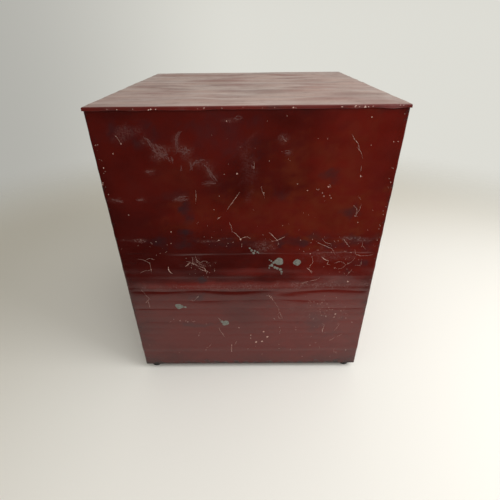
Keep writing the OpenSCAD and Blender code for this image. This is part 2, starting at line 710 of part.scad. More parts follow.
module return_lever() color(zinc) difference() {
    union() {
        bar_z(4.5, lever_x, lever_y, button_z - 7.5, button_z + 7.5);
        slab(lever_x - 32, lever_x + 37, lever_y - 1.5, lever_y + 1.5, button_z - 4, button_z + 4);
    }
    bar_z(lever_pin_r + run, lever_x, lever_y, button_z - 20, button_z + 20);
}

module return_button() color("silver") {
    bar_y(button_r, button_x, face_y - 6.5, jamb_y + 1, button_z);
    bar_y(button_r + 2, button_x, jamb_y + 0.3, jamb_y + 2.3, button_z);
    bar_y(2.5, button_x, jamb_y + 2, bracket_y + 1.9, button_z);
}

// Compression spring between the button's collar and the bracket
module button_spring() color(steel) {
    y0 = jamb_y + 3;
    y1 = bracket_y - 0.7;
    turns = 5;
    steps = 16 * turns;
    wire([for (i = [0:steps]) let (a = 360 * turns * i / steps)
        [button_x + 5 * cos(a), y0 + (y1 - y0) * i / steps, button_z + 5 * sin(a)]], 0.5, [0, 1, 0]);
}

// ---- Cash drawer and its lock ----
module drawer_rails() color(steel) for (s = [-1, 1])
    translate([drawer_x, 0, 0]) mirror([s > 0 ? 0 : 1, 0, 0]) {
        slab(drawer_w / 2 + 0.6, drawer_w / 2 + 1.8, jamb_in_y + 1, tray_back_y - 12, tray_floor_z,
            drawer_z + 9);
        slab(drawer_w / 2 - 8, drawer_w / 2 + 0.7, jamb_in_y + 1, tray_back_y - 12, drawer_z - 1.5,
            drawer_z - 0.3);
    }

module drawer_front() color(paint) difference() {
    round_plate(drawer_w + 12, 56, 3, drawer_x, drawer_z + 22.5, face_y - slide_gap - 2, face_y - slide_gap);
    bar_y(lock_r + run, drawer_x, face_y - 10, face_y + 10, lock_z);
}

module drawer_box() color(steel) difference() {
    y0 = face_y - slide_gap;
    union() {
        slab(drawer_x - drawer_w / 2, drawer_x + drawer_w / 2, y0, drawer_back_y, drawer_z, drawer_top_z);
        slab(drawer_x - drawer_w / 2, drawer_x + drawer_w / 2, y0, y0 + 1, drawer_z, lock_z + 14);
    }
    slab(drawer_x - drawer_w / 2 + 1, drawer_x + drawer_w / 2 - 1, y0 + 1, drawer_back_y - 1,
        drawer_z + 1, drawer_top_z + 1);
    bar_y(lock_r + run, drawer_x, y0 - 1, y0 + 2, lock_z);
}

module lock_barrel() color(zinc) difference() {
    union() {
        bar_y(lock_r + 2.5, drawer_x, face_y - slide_gap - 4.5, face_y - slide_gap - 2, lock_z);
        bar_y(lock_r, drawer_x, face_y - slide_gap - 2.1, barrel_end_y, lock_z);
    }
    bar_y(plug_r + run, drawer_x, face_y - 20, barrel_end_y + 1, lock_z);
}

module lock_nut() color(zinc)
    translate([drawer_x, face_y - slide_gap + 1, lock_z]) rotate([-90, 0, 0]) nut(22, 4, lock_r + run);

// Turning plug with its keyway and the square end that carries the cam
module lock_plug() color(zinc) difference() {
    union() {
        bar_y(plug_r, drawer_x, face_y - slide_gap - 5, barrel_end_y + 0.5, lock_z);
        slab(drawer_x - 2.5, drawer_x + 2.5, barrel_end_y, barrel_end_y + 2.4, lock_z - 2.5, lock_z + 2.5);
    }
    slab(drawer_x - 0.9, drawer_x + 0.9, face_y - slide_gap - 6, face_y + 3, lock_z - 3.6, lock_z + 3.6);
    bar_y(1.45, drawer_x, barrel_end_y - 6, barrel_end_y + 3, lock_z);
}

// At rest the cam lies level, and the drawer is free
module lock_cam() color(steel) difference() {
    union() {
        bar_y(7, drawer_x, barrel_end_y + 0.5, barrel_end_y + 2.5, lock_z);
        slab(drawer_x, drawer_x + cam_l - 5, barrel_end_y + 0.5, barrel_end_y + 2.5, lock_z - 5, lock_z + 5);
        bar_y(5, drawer_x + cam_l - 5, barrel_end_y + 0.5, barrel_end_y + 2.5, lock_z);
    }
    slab(drawer_x - 2.6, drawer_x + 2.6, barrel_end_y, barrel_end_y + 3, lock_z - 2.6, lock_z + 2.6);
}

module cam_screw() color(zinc) {
    bar_y(1.4, drawer_x, barrel_end_y - 5, barrel_end_y + 2.6, lock_z);
    bar_y(4, drawer_x, barrel_end_y + 2.5, barrel_end_y + 4.5, lock_z);
}

// Angle behind the header that the turned-up cam catches
module lock_keeper() color(steel) difference() {
    union() {
        slab(drawer_x - keeper_half, drawer_x + keeper_half, jamb_y, jamb_y + 1.2, keeper_z, keeper_z + 10);
        slab(drawer_x - 12, drawer_x + 12, jamb_y, barrel_end_y - 0.8, keeper_z, keeper_z + 1.2);
        slab(drawer_x - 12, drawer_x + 12, barrel_end_y - 2, barrel_end_y - 0.8, keeper_z - 5,
            keeper_z + 1.2);
    }
    for (s = [-1, 1])
        rivet_hole_y(drawer_x + s * keeper_rivet_x, keeper_z + 6, jamb_y, jamb_y + 1.2);
}

// ---- Latch ----
// Two ears on the tray, either side of the latch arm
module latch_bracket() color(steel) for (s = [-1, 1]) difference() {
    union() {
        slab(s > 0 ? 7.5 : -9, s > 0 ? 9 : -7.5, pivot_y - 10, pivot_y + 10, tray_floor_z, pivot_z + 8);
        slab(s > 0 ? 7.5 : -18, s > 0 ? 18 : -7.5, pivot_y - 10, pivot_y + 10, tray_floor_z,
            tray_floor_z + 1.5);
    }
    bar_x(latch_pin_r + run, -20, 20, pivot_y, pivot_z);
    for (y = [-6, 6]) rivet_hole_z(s * 14, pivot_y + y, tray_floor_z, tray_floor_z + 1.5);
}

module latch_pin() color(steel) {
    bar_x(latch_pin_r, -10, 10, pivot_y, pivot_z);
    for (s = [-1, 1]) bar_x(latch_pin_r + 1.2, s * 9.8 - 0.6, s * 9.8 + 0.6, pivot_y, pivot_z);
}

// At rest the hook is raised, as it is when a coin has been paid
module latch_arm() color(zinc) difference() {
    h = arm_t / 2;
    union() {
        bar_x(7, -7, 7, pivot_y, pivot_z);
        slab(-h, h, hook_y - 4, weight_y + 4, pivot_z - 5, pivot_z + 5);
        slab(-h, h, hook_y - 4, hook_y + 4, hook_z, pivot_z + 5);
    }
    bar_x(latch_pin_r + run, -20, 20, pivot_y, pivot_z);
    bar_x(rivet_r + run, -20, 20, weight_y, weight_z);
    for (z = paddle_rivet_z) bar_x(rivet_r + run, -20, 20, pivot_y + 15, z);
}
weight_z = tray_floor_z + weight_r + 0.6;
paddle_rivet_z = [pivot_z - 2.5, pivot_z + 2.5];

module latch_weight() color(steel) for (s = [-1, 1]) difference() {
    bar_x(weight_r, s > 0 ? arm_t / 2 : -weight_half, s > 0 ? weight_half : -arm_t / 2, weight_y, weight_z);
    bar_x(rivet_r + run, -20, 20, weight_y, weight_z);
}

// Strap riveted to the arm that reaches over the drawer to the foot of the chute
module coin_paddle() color(steel) difference() {
    x = arm_t / 2;
    union() {
        slab(x, x + 1.5, pivot_y + 10, pivot_y + 20, pivot_z - 5, paddle_z + 1.5);
        slab(x, slot_x + 11, pivot_y + 6, pivot_y + 24, paddle_z, paddle_z + 1.5);
        for (s = [-1, 1]) slab(slot_x + s * 10.4 - 0.6, slot_x + s * 10.4 + 0.6, pivot_y + 6, pivot_y + 24,
            paddle_z, paddle_z + 5);
    }
    for (z = paddle_rivet_z) bar_x(rivet_r + run, 0, 20, pivot_y + 15, z);
}

module latch_rivets() color(steel) {
    h = arm_t / 2;
    bar_x(rivet_r, -weight_half, weight_half, weight_y, weight_z);
    for (s = [-1, 1])
        bar_x(3.2, s * (weight_half + 0.5) - 0.5, s * (weight_half + 0.5) + 0.5, weight_y, weight_z);
    for (z = paddle_rivet_z) {
        bar_x(rivet_r, -h, h + 1.5, pivot_y + 15, z);
        bar_x(2.2, -h - 0.8, -h, pivot_y + 15, z);
        bar_x(2.2, h + 1.5, h + 2.3, pivot_y + 15, z);
    }
}

// ---- Door ----
// Folded pan, open at the back, with the window opening
module door_panel() color(paint) difference() {
    union() {
        translate([0, 0, door_z]) linear_extrude(door_top_z - door_z) difference() {
            translate([0, door_y + door_depth]) round_rect(2 * door_half, 2 * door_depth, bend_r);
            translate([0, door_y + door_depth])
                round_rect(2 * (door_half - door_t), 2 * (door_depth - door_t), bend_r - 1);
            translate([-side_x, door_back_y]) square([cab_w, 2 * door_depth]);
        }
        slab(door_t - door_half, door_half - door_t, door_in_y - eps, door_back_y, door_top_z - door_t,
            door_top_z);
        slab(-hinge_half, hinge_half, door_in_y - eps, door_back_y, door_z, door_z + door_t);
    }
    round_plate(win_w, win_h, win_r, 0, win_z, door_y - 1, door_in_y + 1);
    for (x = leaf_rivets) rivet_hole_z(x, door_rivet_y, door_z, door_z + door_t);
    for (s = [-1, 1]) bar_y(2.6, s * handle_span / 2, door_y - 1, door_in_y + 1, handle_z);
    for (p = door_face_rivets) rivet_hole_y(p[0], p[1], door_y, door_in_y);
}
door_face_rivets = concat(retainer_rivets,
    [for (s = [-1, 1], z = pocket_rivet_z) [s * (pocket_half + 6), z]],
    [for (s = [-1, 1]) [s * (stay_x - 6), stay_foot_z]],
    [for (s = [-1, 1]) [s * 9, striker_rivet_z]]);

module window_gasket() color(black) {
    window_ring(-2, 5, door_y - 1.2, door_y);
    window_ring(-2, 0, door_y - eps, door_in_y + eps);
    window_ring(-2, pane_over, door_in_y, pane_y);
}

module window_pane() color([0.8, 0.9, 0.9, 0.4])
    round_plate(win_w + 2 * pane_over, win_h + 2 * pane_over, win_r + pane_over, 0, win_z,
        pane_y, retainer_y);

// Steel frame that holds the pane against the gasket, riveted to the door
module window_retainer() color(steel) difference() {
    union() {
        window_ring(14, 24, door_in_y, door_in_y + 1);
        window_ring(14, 15, door_in_y, retainer_y + 1);
        window_ring(3, 15, retainer_y, retainer_y + 1);
    }
    for (p = retainer_rivets) rivet_hole_y(p[0], p[1], door_in_y, door_in_y + 1);
}

// Open-topped pocket for the display copy: bottom, two sides and the lips behind it
module display_pocket() color(steel) {
    x = pocket_half;
    z0 = pocket_bottom_z;
    difference() {
        union() {
            slab(-x - 1, x + 1, door_in_y, pocket_y, z0, z0 + 1);
            slab(-x - 1, x + 1, pocket_y - 1, pocket_y, z0, z0 + 32);
            for (s = [-1, 1]) mirror([s > 0 ? 0 : 1, 0, 0]) {
                slab(x, x + 1, door_in_y, pocket_y, z0, pocket_top_z);
                slab(x - 26, x + 1, pocket_y - 1, pocket_y, z0, pocket_top_z);
                for (z = pocket_rivet_z) slab(x, x + 10, door_in_y, door_in_y + 1, z - 6, z + 6);
            }
        }
        for (s = [-1, 1], z = pocket_rivet_z) rivet_hole_y(s * (x + 6), z, door_in_y, door_in_y + 1);
    }
}

module door_handle() color("silver") difference() {
    y = door_y - handle_out;
    h = handle_span / 2;
    union() {
        bar_x(handle_r, -h, h, y, handle_z);
        for (s = [-1, 1]) {
            translate([s * h, y, handle_z]) sphere(handle_r);
            bar_y(handle_r, s * h, y, door_y, handle_z);
            bar_y(handle_r + 5, s * h, door_y - 3, door_y, handle_z);
        }
    }
    for (s = [-1, 1]) bar_y(2.5 + run, s * h, door_y - 14, door_y + 1, handle_z);
}

module handle_screws() color(zinc) for (s = [-1, 1]) {
    bar_y(2.5, s * handle_span / 2, door_y - 12, door_in_y + 0.1, handle_z);
    bar_y(5, s * handle_span / 2, door_in_y, door_in_y + 3, handle_z);
}

// Plate behind the door's top edge, with the hole that the latch hook drops into
module door_striker() color(steel) difference() {
    union() {
        slab(-14, 14, door_in_y, door_in_y + 1.5, striker_z - 10, striker_z + striker_t);
        slab(-12, 12, door_in_y, hook_y + 18, striker_z, striker_z + striker_t);
    }
    slab(-arm_t / 2 - 2.5, arm_t / 2 + 2.5, hook_y - 6, hook_y + 12, striker_z - 1,
        striker_z + striker_t + 1);
    for (s = [-1, 1]) rivet_hole_y(s * 9, striker_rivet_z, door_in_y, door_in_y + 1.5);
}

// Arcs about the hinge's axis, with a stop pin that meets the jamb when the door is open
module stay_arcs() color(steel) for (s = [-1, 1]) mirror([s > 0 ? 0 : 1, 0, 0]) difference() {
    reach = stay_r + stay_w;
    union() {
        intersection() {
            translate([stay_x, axis_y, axis_z]) rotate([90, 0, 90]) linear_extrude(stay_t) intersection() {
                difference() {
                    circle(stay_r + stay_w / 2, $fn = 96);
                    circle(stay_r - stay_w / 2, $fn = 96);
                }
                polygon([[0, 0], 2 * reach * [cos(stop_angle - 3), sin(stop_angle - 3)],
                    2 * reach * [cos(50), sin(50)], 2 * reach * [cos(105), sin(105)]]);
            }
            slab(0, cab_w, door_in_y, cab_d, 0, cab_h);
        }
        slab(stay_x - 12, stay_x + stay_t, door_in_y, door_in_y + 1.5, stay_foot_z - 8, stay_foot_z + 8);
        bar_x(stop_r, stay_x, stay_x + stay_t + 5, axis_y + stay_r * cos(stop_angle),
            axis_z + stay_r * sin(stop_angle));
    }
    rivet_hole_y(stay_x - 6, stay_foot_z, door_in_y, door_in_y + 1.5);
}

module door_rivets() color(steel) {
    for (x = leaf_rivets) rivet_z(x, door_rivet_y, door_z - 1, door_z + door_t);
    for (p = retainer_rivets) rivet_y(p[0], p[1], door_y, door_in_y + 1);
    for (s = [-1, 1], z = pocket_rivet_z) rivet_y(s * (pocket_half + 6), z, door_y, door_in_y + 1);
    for (s = [-1, 1]) rivet_y(s * (stay_x - 6), stay_foot_z, door_y, door_in_y + 1.5);
    for (s = [-1, 1]) rivet_y(s * 9, striker_rivet_z, door_y, door_in_y + 1.5);
}

cabinet_wrap();
top_panel();
base_pan();
header_panel();
sill_panel();
paper_shelf();
paper_guides();
mech_tray();
rubber_feet();
foot_screws();
foot_nuts();
cabinet_rivets();
door_bumpers();
hinge_cabinet_leaf();
hinge_pin();
door_springs();
price_card_frame();
price_card();
coin_slot_plate();
slot_screws();
slot_nuts();
coin_chute();
return_trough();
return_cup();
flap_pin();
button_bezel();
button_bracket();
lever_pin();
button_spring();
drawer_rails();
lock_keeper();
latch_bracket();
latch_pin();
door_panel();
hinge_door_leaf();
window_gasket();
window_pane();
window_retainer();
display_pocket();
door_handle();
handle_screws();
door_striker();
stay_arcs();
door_rivets();
latch_arm();
latch_weight();
coin_paddle();
latch_rivets();
drawer_front();
drawer_box();
lock_barrel();
lock_nut();
lock_plug();
lock_cam();
cam_screw();
return_button();
return_lever();
return_flap();
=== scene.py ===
# Newspaper vending box in worn oxblood enamel, seen from behind and above.
import json
import math

import bmesh
import bpy
import numpy as np
from mathutils import Matrix, Vector

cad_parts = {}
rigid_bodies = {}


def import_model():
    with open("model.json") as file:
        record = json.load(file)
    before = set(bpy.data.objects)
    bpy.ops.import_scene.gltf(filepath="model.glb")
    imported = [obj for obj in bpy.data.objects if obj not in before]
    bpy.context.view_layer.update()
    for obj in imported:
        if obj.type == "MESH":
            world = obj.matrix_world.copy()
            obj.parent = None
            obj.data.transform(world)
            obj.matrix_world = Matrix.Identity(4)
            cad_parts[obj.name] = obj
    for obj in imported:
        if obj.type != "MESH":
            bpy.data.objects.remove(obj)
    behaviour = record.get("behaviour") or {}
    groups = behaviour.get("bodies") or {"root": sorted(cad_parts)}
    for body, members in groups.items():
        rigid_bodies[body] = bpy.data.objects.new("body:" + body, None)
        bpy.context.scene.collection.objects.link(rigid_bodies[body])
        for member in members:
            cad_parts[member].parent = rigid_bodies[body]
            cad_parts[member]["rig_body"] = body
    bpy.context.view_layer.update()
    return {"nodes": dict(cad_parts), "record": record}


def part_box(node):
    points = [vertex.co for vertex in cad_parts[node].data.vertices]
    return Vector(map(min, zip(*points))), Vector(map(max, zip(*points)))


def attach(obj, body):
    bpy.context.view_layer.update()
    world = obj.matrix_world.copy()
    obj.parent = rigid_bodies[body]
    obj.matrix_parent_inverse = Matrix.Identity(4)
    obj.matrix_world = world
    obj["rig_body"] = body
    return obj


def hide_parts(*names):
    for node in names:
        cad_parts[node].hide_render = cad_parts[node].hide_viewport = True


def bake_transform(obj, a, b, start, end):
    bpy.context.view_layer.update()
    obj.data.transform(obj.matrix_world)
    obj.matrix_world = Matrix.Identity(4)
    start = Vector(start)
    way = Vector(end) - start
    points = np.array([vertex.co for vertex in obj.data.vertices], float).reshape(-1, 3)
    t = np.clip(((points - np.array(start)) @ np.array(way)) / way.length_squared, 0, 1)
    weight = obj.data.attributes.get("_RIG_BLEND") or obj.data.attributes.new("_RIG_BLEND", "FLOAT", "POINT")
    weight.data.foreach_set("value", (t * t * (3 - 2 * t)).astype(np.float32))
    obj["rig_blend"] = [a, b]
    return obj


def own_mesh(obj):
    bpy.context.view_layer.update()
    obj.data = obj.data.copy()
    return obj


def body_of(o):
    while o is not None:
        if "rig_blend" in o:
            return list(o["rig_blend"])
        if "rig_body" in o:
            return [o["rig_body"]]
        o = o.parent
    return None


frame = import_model()
scene = bpy.context.scene
mm = 0.001
print("frame loaded")


def corners(node):
    # lowest and highest corner of a CAD node, in millimetres
    return [np.array(v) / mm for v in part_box(node)]


def linear(hexColour, alpha=1.0):
    # sRGB hex to linear light
    c = np.array([int(hexColour[i:i + 2], 16) for i in (1, 3, 5)]) / 255
    c = np.where(c <= 0.04045, c / 12.92, ((c + 0.055) / 1.055) ** 2.4)
    return (*c.tolist(), alpha)


def addNode(tree, kind, links=None, give=0, **settings):
    # one node with its settings; each input takes a value, a hex colour or another node's output
    node = tree.nodes.new("ShaderNode" + kind)
    for name, value in settings.items():
        setattr(node, name, value)
    for socket, value in (links or {}).items():
        if isinstance(value, bpy.types.NodeSocket):
            tree.links.new(value, node.inputs[socket])
        else:
            node.inputs[socket].default_value = linear(value) if isinstance(value, str) else value
    return node.outputs[give]


# Settings that many nodes share. Map Range takes a value in 0, its range in 1 and 2, and what that becomes in
# 3 and 4. Mix takes the share of the second colour in 0, and the two colours in 6 and 7.
eased = {"interpolation_type": "SMOOTHSTEP"}
blend = {"data_type": "RGBA", "give": 2}
times = {"operation": "MULTIPLY"}
plus = {"operation": "ADD", "use_clamp": True}


def newMaterial(name, noises=(), **fixed):
    # a material with the shader's fixed values, its object coordinates and its noises, which are given as
    # size in millimetres, detail, and the stretch along x, y and z
    material = bpy.data.materials.new(name)
    material.use_nodes = True
    tree = material.node_tree
    shader = tree.nodes["Principled BSDF"]
    for socket, value in fixed.items():
        shader.inputs[socket.replace("_", " ")].default_value = value
    place = addNode(tree, "TexCoord", give="Object")
    grains = []
    for size, detail, *stretch in noises:
        scale = [1 / (size * mm * s) for s in stretch or (1, 1, 1)]
        mapped = addNode(tree, "Mapping", {"Vector": place, "Scale": scale})
        grains.append(addNode(tree, "TexNoise", {
            "Vector": mapped, "Scale": 1.0, "Detail": detail, "Roughness": 0.55}))
    return material, tree, shader, place, grains


def wireUp(tree, shader, heights, **channels):
    # joins the channels to the shader, with bumps given as (value, height in millimetres) added together
    for value, depth in heights:
        links = {"Height": value, "Distance": depth * mm, "Strength": 1.0}
        if "Normal" in channels:
            links["Normal"] = channels["Normal"]
        channels["Normal"] = addNode(tree, "Bump", links)
    for socket, value in channels.items():
        tree.links.new(value, shader.inputs[socket.replace("_", " ")])


def waves(a, b, seed, lengthA, lengthB, count=9):
    # a sum of sine waves in mixed directions, each about lengthA by lengthB millimetres long
    rng = np.random.default_rng(seed)
    height = np.zeros(np.broadcast(a, b).shape)
    full = 2 * np.pi
    draws = [rng.uniform(*limits, count) for limits in ((0, full), (0.7, 1.9), (0, full))]
    for turn, stretch, phase in zip(*draws):
        along = a * np.cos(turn) / lengthA + b * np.sin(turn) / lengthB
        height += np.sin(full * stretch * along + phase)
    return height / math.sqrt(count / 2)


def smooth(value, low, high):
    t = np.clip((value - low) / (high - low), 0, 1)
    return t * t * (3 - 2 * t)


def meshPiece(name, points, faces, material, body, attributes=None, angle=40):
    # points in millimetres become one object at the origin, smooth but for edges over the angle
    mesh = bpy.data.meshes.new(name)
    if isinstance(faces, np.ndarray):
        faces = faces.tolist()
    mesh.from_pydata((np.asarray(points).reshape(-1, 3) * mm).tolist(), [], faces)
    for key, values in (attributes or {}).items():
        field = mesh.attributes.new(key, "FLOAT", "POINT")
        field.data.foreach_set("value", np.ravel(values).astype(np.float32))
    mesh.materials.append(material)
    mesh.validate()
    piece = bpy.data.objects.new(name, mesh)
    scene.collection.objects.link(piece)
    mesh.polygons.foreach_set("use_smooth", np.ones(len(mesh.polygons), bool))
    mesh.set_sharp_from_angle(angle=math.radians(angle))
    if body:
        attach(piece, body)
    return piece


def gridFaces(rows, columns, start=0, flip=False, closed=False):
    # quads of a grid whose points run row by row; closed joins the last column to the first
    r = np.arange(rows - 1)[:, None] * columns
    c = np.arange(columns if closed else columns - 1)[None, :]
    d = (c + 1) % columns
    quads = np.stack([r + c, r + d, r + columns + d, r + columns + c], -1).reshape(-1, 4) + start
    return quads[:, ::-1] if flip else quads


def borderOf(number):
    # point numbers round the border of a grid, once
    return np.concatenate([number[0], number[1:, -1], number[-1, -2::-1], number[-2:0:-1, 0]])


def stitch(first, second, closed=False):
    # quads between two lists of point numbers, of the same length
    if closed:
        first, second = np.append(first, first[0]), np.append(second, second[0])
    return np.stack([first[:-1], first[1:], second[1:], second[:-1]], -1)


# Camera, floor and light
camera = {
    "place": (-5.9, 661.9, 558.2),
    "down": 32.14, "roll": 0.69, "turn": 0.43,  # degrees; the lens looks along -Y
    "lens": 24.85,
}


def makeCamera(c):
    data = bpy.data.cameras.new("camera")
    data.lens, data.sensor_width = c["lens"], 36
    eye = bpy.data.objects.new("camera", data)
    scene.collection.objects.link(eye)
    turn = Matrix.Rotation(math.radians(180 + c["turn"]), 4, "Z")
    tilt = Matrix.Rotation(math.radians(90 - c["down"]), 4, "X")
    roll = Matrix.Rotation(-math.radians(c["roll"]), 4, "Z")
    eye.matrix_world = Matrix.Translation([v * mm for v in c["place"]]) @ turn @ tilt @ roll
    scene.camera = eye


studio = {
    # painted shade: the paper turns darker behind and to one side, and ends between these two distances in
    # metres
    "floor": "#f4f2ed", "floorFarShade": "#e8e4da", "floorSideShade": "#d3cfc5",
    "farFrom": (-0.15, -0.75), "sideFrom": (0.1, 0.9), "floorEnd": (0.95, 1.75), "floorMiddle": (0, 0.3, 0),
    # the room: brightest near the floor, dimmer overhead and towards +X
    "horizon": "#e8e7df", "zenith": "#cdcac1", "leftShade": 0.60, "worldStrength": 0.90,
    # place, size and power of each lamp; all of them aim at the middle of the box
    "lamps": {"key": ((-0.95, 0.44, 1.0), 0.8, 10.0), "fill": ((-0.3, 1.15, 1.55), 1.3, 6.7)},
    "aim": (0, 0, 0.2),
    "cardNear": 0.435, "cardFull": 0.475,  # the low card fades in between these distances
}


def makeStudio(s):
    # Seamless paper sweep: matt, with painted shade that makes it a little greyer away from the lamp, and it
    # melts into the far wall
    paper, tree, shader, place, _ = newMaterial("seamless_paper", Roughness=0.9)
    across = addNode(tree, "SeparateXYZ", {"Vector": place}).node.outputs
    tone = s["floor"]
    for axis, reach, colour in (("Y", s["farFrom"], s["floorFarShade"]), ("X", s["sideFrom"], s["floorSideShade"])):
        share = addNode(tree, "MapRange", {0: across[axis], 1: reach[0], 2: reach[1]}, **eased)
        tone = addNode(tree, "Mix", {0: share, 6: tone, 7: colour}, **blend)
    tree.links.new(tone, shader.inputs["Base Color"])
    reach = addNode(tree, "VectorMath", {0: place, 1: s["floorMiddle"]}, "Value", operation="DISTANCE")
    fadeOut(tree, shader, reach, *s["floorEnd"])
    flatSheet("floor", [(x, y, 0) for x, y in ((-6, -6), (6, -6), (6, 6), (-6, 6))], paper)

    # Two black cards, seen only in gloss, keep the camera's side out of the paint
    card, tree, shader, place, _ = newMaterial("black_card", Roughness=1.0, Base_Color=linear("#030303"))
    near = s["cardNear"]
    fadeOut(tree, shader, addNode(tree, "SeparateXYZ", {"Vector": place}, "Y"), s["cardFull"], near)
    low = [(-2.5, near, 0.003), (2.5, near, 0.003), (2.5, 3, 0.003), (-2.5, 3, 0.003)]
    back = [(-2.5, 1.9, 0), (2.5, 1.9, 0), (2.5, 1.6, 2.6), (-2.5, 1.6, 2.6)]
    for name, points in (("card_low", low), ("card_back", back)):
        flag = flatSheet(name, points, card)
        flag.visible_camera = flag.visible_diffuse = flag.visible_shadow = flag.visible_transmission = False

    for name, (spot, size, power) in s["lamps"].items():
        lamp = bpy.data.lights.new(name, "AREA")
        lamp.size, lamp.energy = size, power
        holder = bpy.data.objects.new(name, lamp)
        scene.collection.objects.link(holder)
        holder.location = spot
        holder.rotation_euler = (Vector(s["aim"]) - holder.location).to_track_quat("-Z", "Y").to_euler()

    world = bpy.data.worlds.new("studio")
    scene.world = world
    world.use_nodes = True
    tree = world.node_tree
    sky = addNode(tree, "TexCoord", give="Generated")
    view = addNode(tree, "SeparateXYZ", {"Vector": sky}).node.outputs
    share = addNode(tree, "MapRange", {0: view["Z"], 1: 0.0, 2: 0.55}, **eased)
    tone = addNode(tree, "Mix", {0: share, 6: s["horizon"], 7: s["zenith"]}, **blend)
    full, least = s["worldStrength"], s["worldStrength"] * s["leftShade"]
    dim = addNode(tree, "MapRange", {0: view["X"], 1: 0.0, 2: 0.62, 3: full, 4: least}, **eased)
    tree.links.new(tone, tree.nodes["Background"].inputs[0])
    tree.links.new(dim, tree.nodes["Background"].inputs[1])
    scene.view_settings.view_transform = "Standard"


def fadeOut(tree, shader, value, solidAt, clearAt):
    # the sheet turns from solid to clear as the value runs between the two
    share = addNode(tree, "MapRange", {0: value, 1: solidAt, 2: clearAt}, **eased)
    mixed = addNode(tree, "MixShader", {0: share, 1: shader.outputs[0], 2: addNode(tree, "BsdfTransparent")})
    tree.links.new(mixed, tree.nodes["Material Output"].inputs[0])


def flatSheet(name, points, material):
    mesh = bpy.data.meshes.new(name)
    mesh.from_pydata(points, [], [(0, 1, 2, 3)])
    mesh.materials.append(material)
    sheet = bpy.data.objects.new(name, mesh)
    scene.collection.objects.link(sheet)
    return sheet


makeCamera(camera)
makeStudio(studio)
print("camera and studio ready")


# Paint: tones from clean to worn; the flush, scuff, chalk and grime tones also carry painted light in places
enamelTones = {
    "deep": "#3a0906", "warm": "#4c0f09", "flushAndLight": "#6c160c", "rust": "#5f230b", "bruise": "#241d22",
    "scuffAndSheen": "#75504b", "chalkAndSheen": "#bfa79d", "grimeAndShade": "#1a1210",
    "roughness": 0.18, "orangePeel": 2.2,  # millimetres between ripples
}


def oxbloodEnamel(t, name, chalkAndSheen=0.0):
    # Stoved alkyd enamel on sheet steel: deep glossy red, cloudy with age, rubbed pale where it was scraped,
    # and brightened in places with painted light
    noises = ((120, 4, 1.3, 1.3, 0.8), (26, 5), (2.2, 5), (t["orangePeel"], 2))
    material, tree, shader, place, (clouds, small, grain, ripple) = newMaterial(name, noises, IOR=1.5)
    share = addNode(tree, "MapRange", {0: clouds, 1: 0.35, 2: 0.65}, **eased)
    colour = addNode(tree, "Mix", {0: share, 6: t["deep"], 7: t["warm"]}, **blend)
    marks = {}
    # the flush tone is partly painted light, and the scuff tone partly a painted highlight and reflection,
    # wherever the attributes put them
    for key, noise, low, high in (("flushAndLight", clouds, 0.1, 0.6), ("rust", small, 0.25, 0.8),
                                  ("bruise", small, 0.2, 0.75), ("scuffAndSheen", grain, 0.3, 0.75),
                                  ("grimeAndShade", grain, 0.3, 0.6)):
        amount = addNode(tree, "Attribute", give="Fac", attribute_name=key)
        patches = addNode(tree, "MapRange", {0: noise, 1: low, 2: high}, **eased)
        marks[key] = addNode(tree, "Math", {0: amount, 1: patches}, **times)
        colour = addNode(tree, "Mix", {0: marks[key], 6: colour, 7: t[key]}, **blend)
    if chalkAndSheen:
        # weathered top: streaks of chalked paint and dust along the sheet, made paler as a painted reflection
        # of the bright room at a grazing angle
        scale = [1 / (30 * mm * s) for s in (3.2, 0.8, 1)]
        mapped = addNode(tree, "Mapping", {"Vector": place, "Scale": scale})
        streaks = addNode(tree, "TexNoise", {"Vector": mapped, "Scale": 1.0, "Detail": 4, "Roughness": 0.45})
        film = addNode(tree, "MapRange", {0: streaks, 1: 0.3, 2: 0.7, 3: 0.5 * chalkAndSheen, 4: chalkAndSheen}, **eased)
        dust = addNode(tree, "MapRange", {0: grain, 1: 0.1, 2: 0.7, 3: 0.75}, **eased)
        for factor in (dust, addNode(tree, "Attribute", give="Fac", attribute_name="flat")):
            film = addNode(tree, "Math", {0: film, 1: factor}, **times)
        colour = addNode(tree, "Mix", {0: film, 6: colour, 7: t["chalkAndSheen"]}, **blend)
    glossy, dull = t["roughness"] - 0.04 + 0.2 * chalkAndSheen, t["roughness"] + 0.05 + 0.25 * chalkAndSheen
    gloss = addNode(tree, "MapRange", {0: small, 1: 0.2, 2: 0.8, 3: glossy, 4: dull}, **eased)
    worn = addNode(tree, "Math", {0: marks["scuffAndSheen"], 1: marks["grimeAndShade"]}, **plus)
    worn = addNode(tree, "Math", {0: worn, 1: 0.35}, **times)
    gloss = addNode(tree, "Math", {0: gloss, 1: worn}, **plus)
    bumps = [(ripple, 0.008), (grain, 0.012), (small, 0.10)]
    wireUp(tree, shader, bumps, Base_Color=colour, Roughness=gloss)
    return material


enamel = oxbloodEnamel(enamelTones, "oxblood_stoved_enamel")
# the top's enamel: its pale chalk tone is partly real chalking and partly a painted reflection of the bright
# room
chalkAndSheenEnamel = oxbloodEnamel(enamelTones, "oxblood_enamel_chalk_and_sheen", chalkAndSheen=0.75)


def metalFinish(name, colour, dark, roughness, cell, streak=(1, 1, 1), bump=0.02):
    # plated or rolled metal: two tones of the same metal in cells or streaks, duller where darker
    noises = ((cell, 4, *streak), (cell * 9, 3))
    material, tree, shader, place, (grain, haze) = newMaterial(name, noises, Metallic=1.0)
    cells = addNode(tree, "MapRange", {0: grain, 1: 0.3, 2: 0.7}, **eased)
    patches = addNode(tree, "MapRange", {0: haze, 1: 0.25, 2: 0.75, 3: 0.4}, **eased)
    shade = addNode(tree, "Math", {0: cells, 1: patches}, **times)
    tone = addNode(tree, "Mix", {0: shade, 6: dark, 7: colour}, **blend)
    gloss = addNode(tree, "MapRange", {0: shade, 3: roughness + 0.15, 4: roughness}, **eased)
    wireUp(tree, shader, [(grain, bump)], Base_Color=tone, Roughness=gloss)
    return material


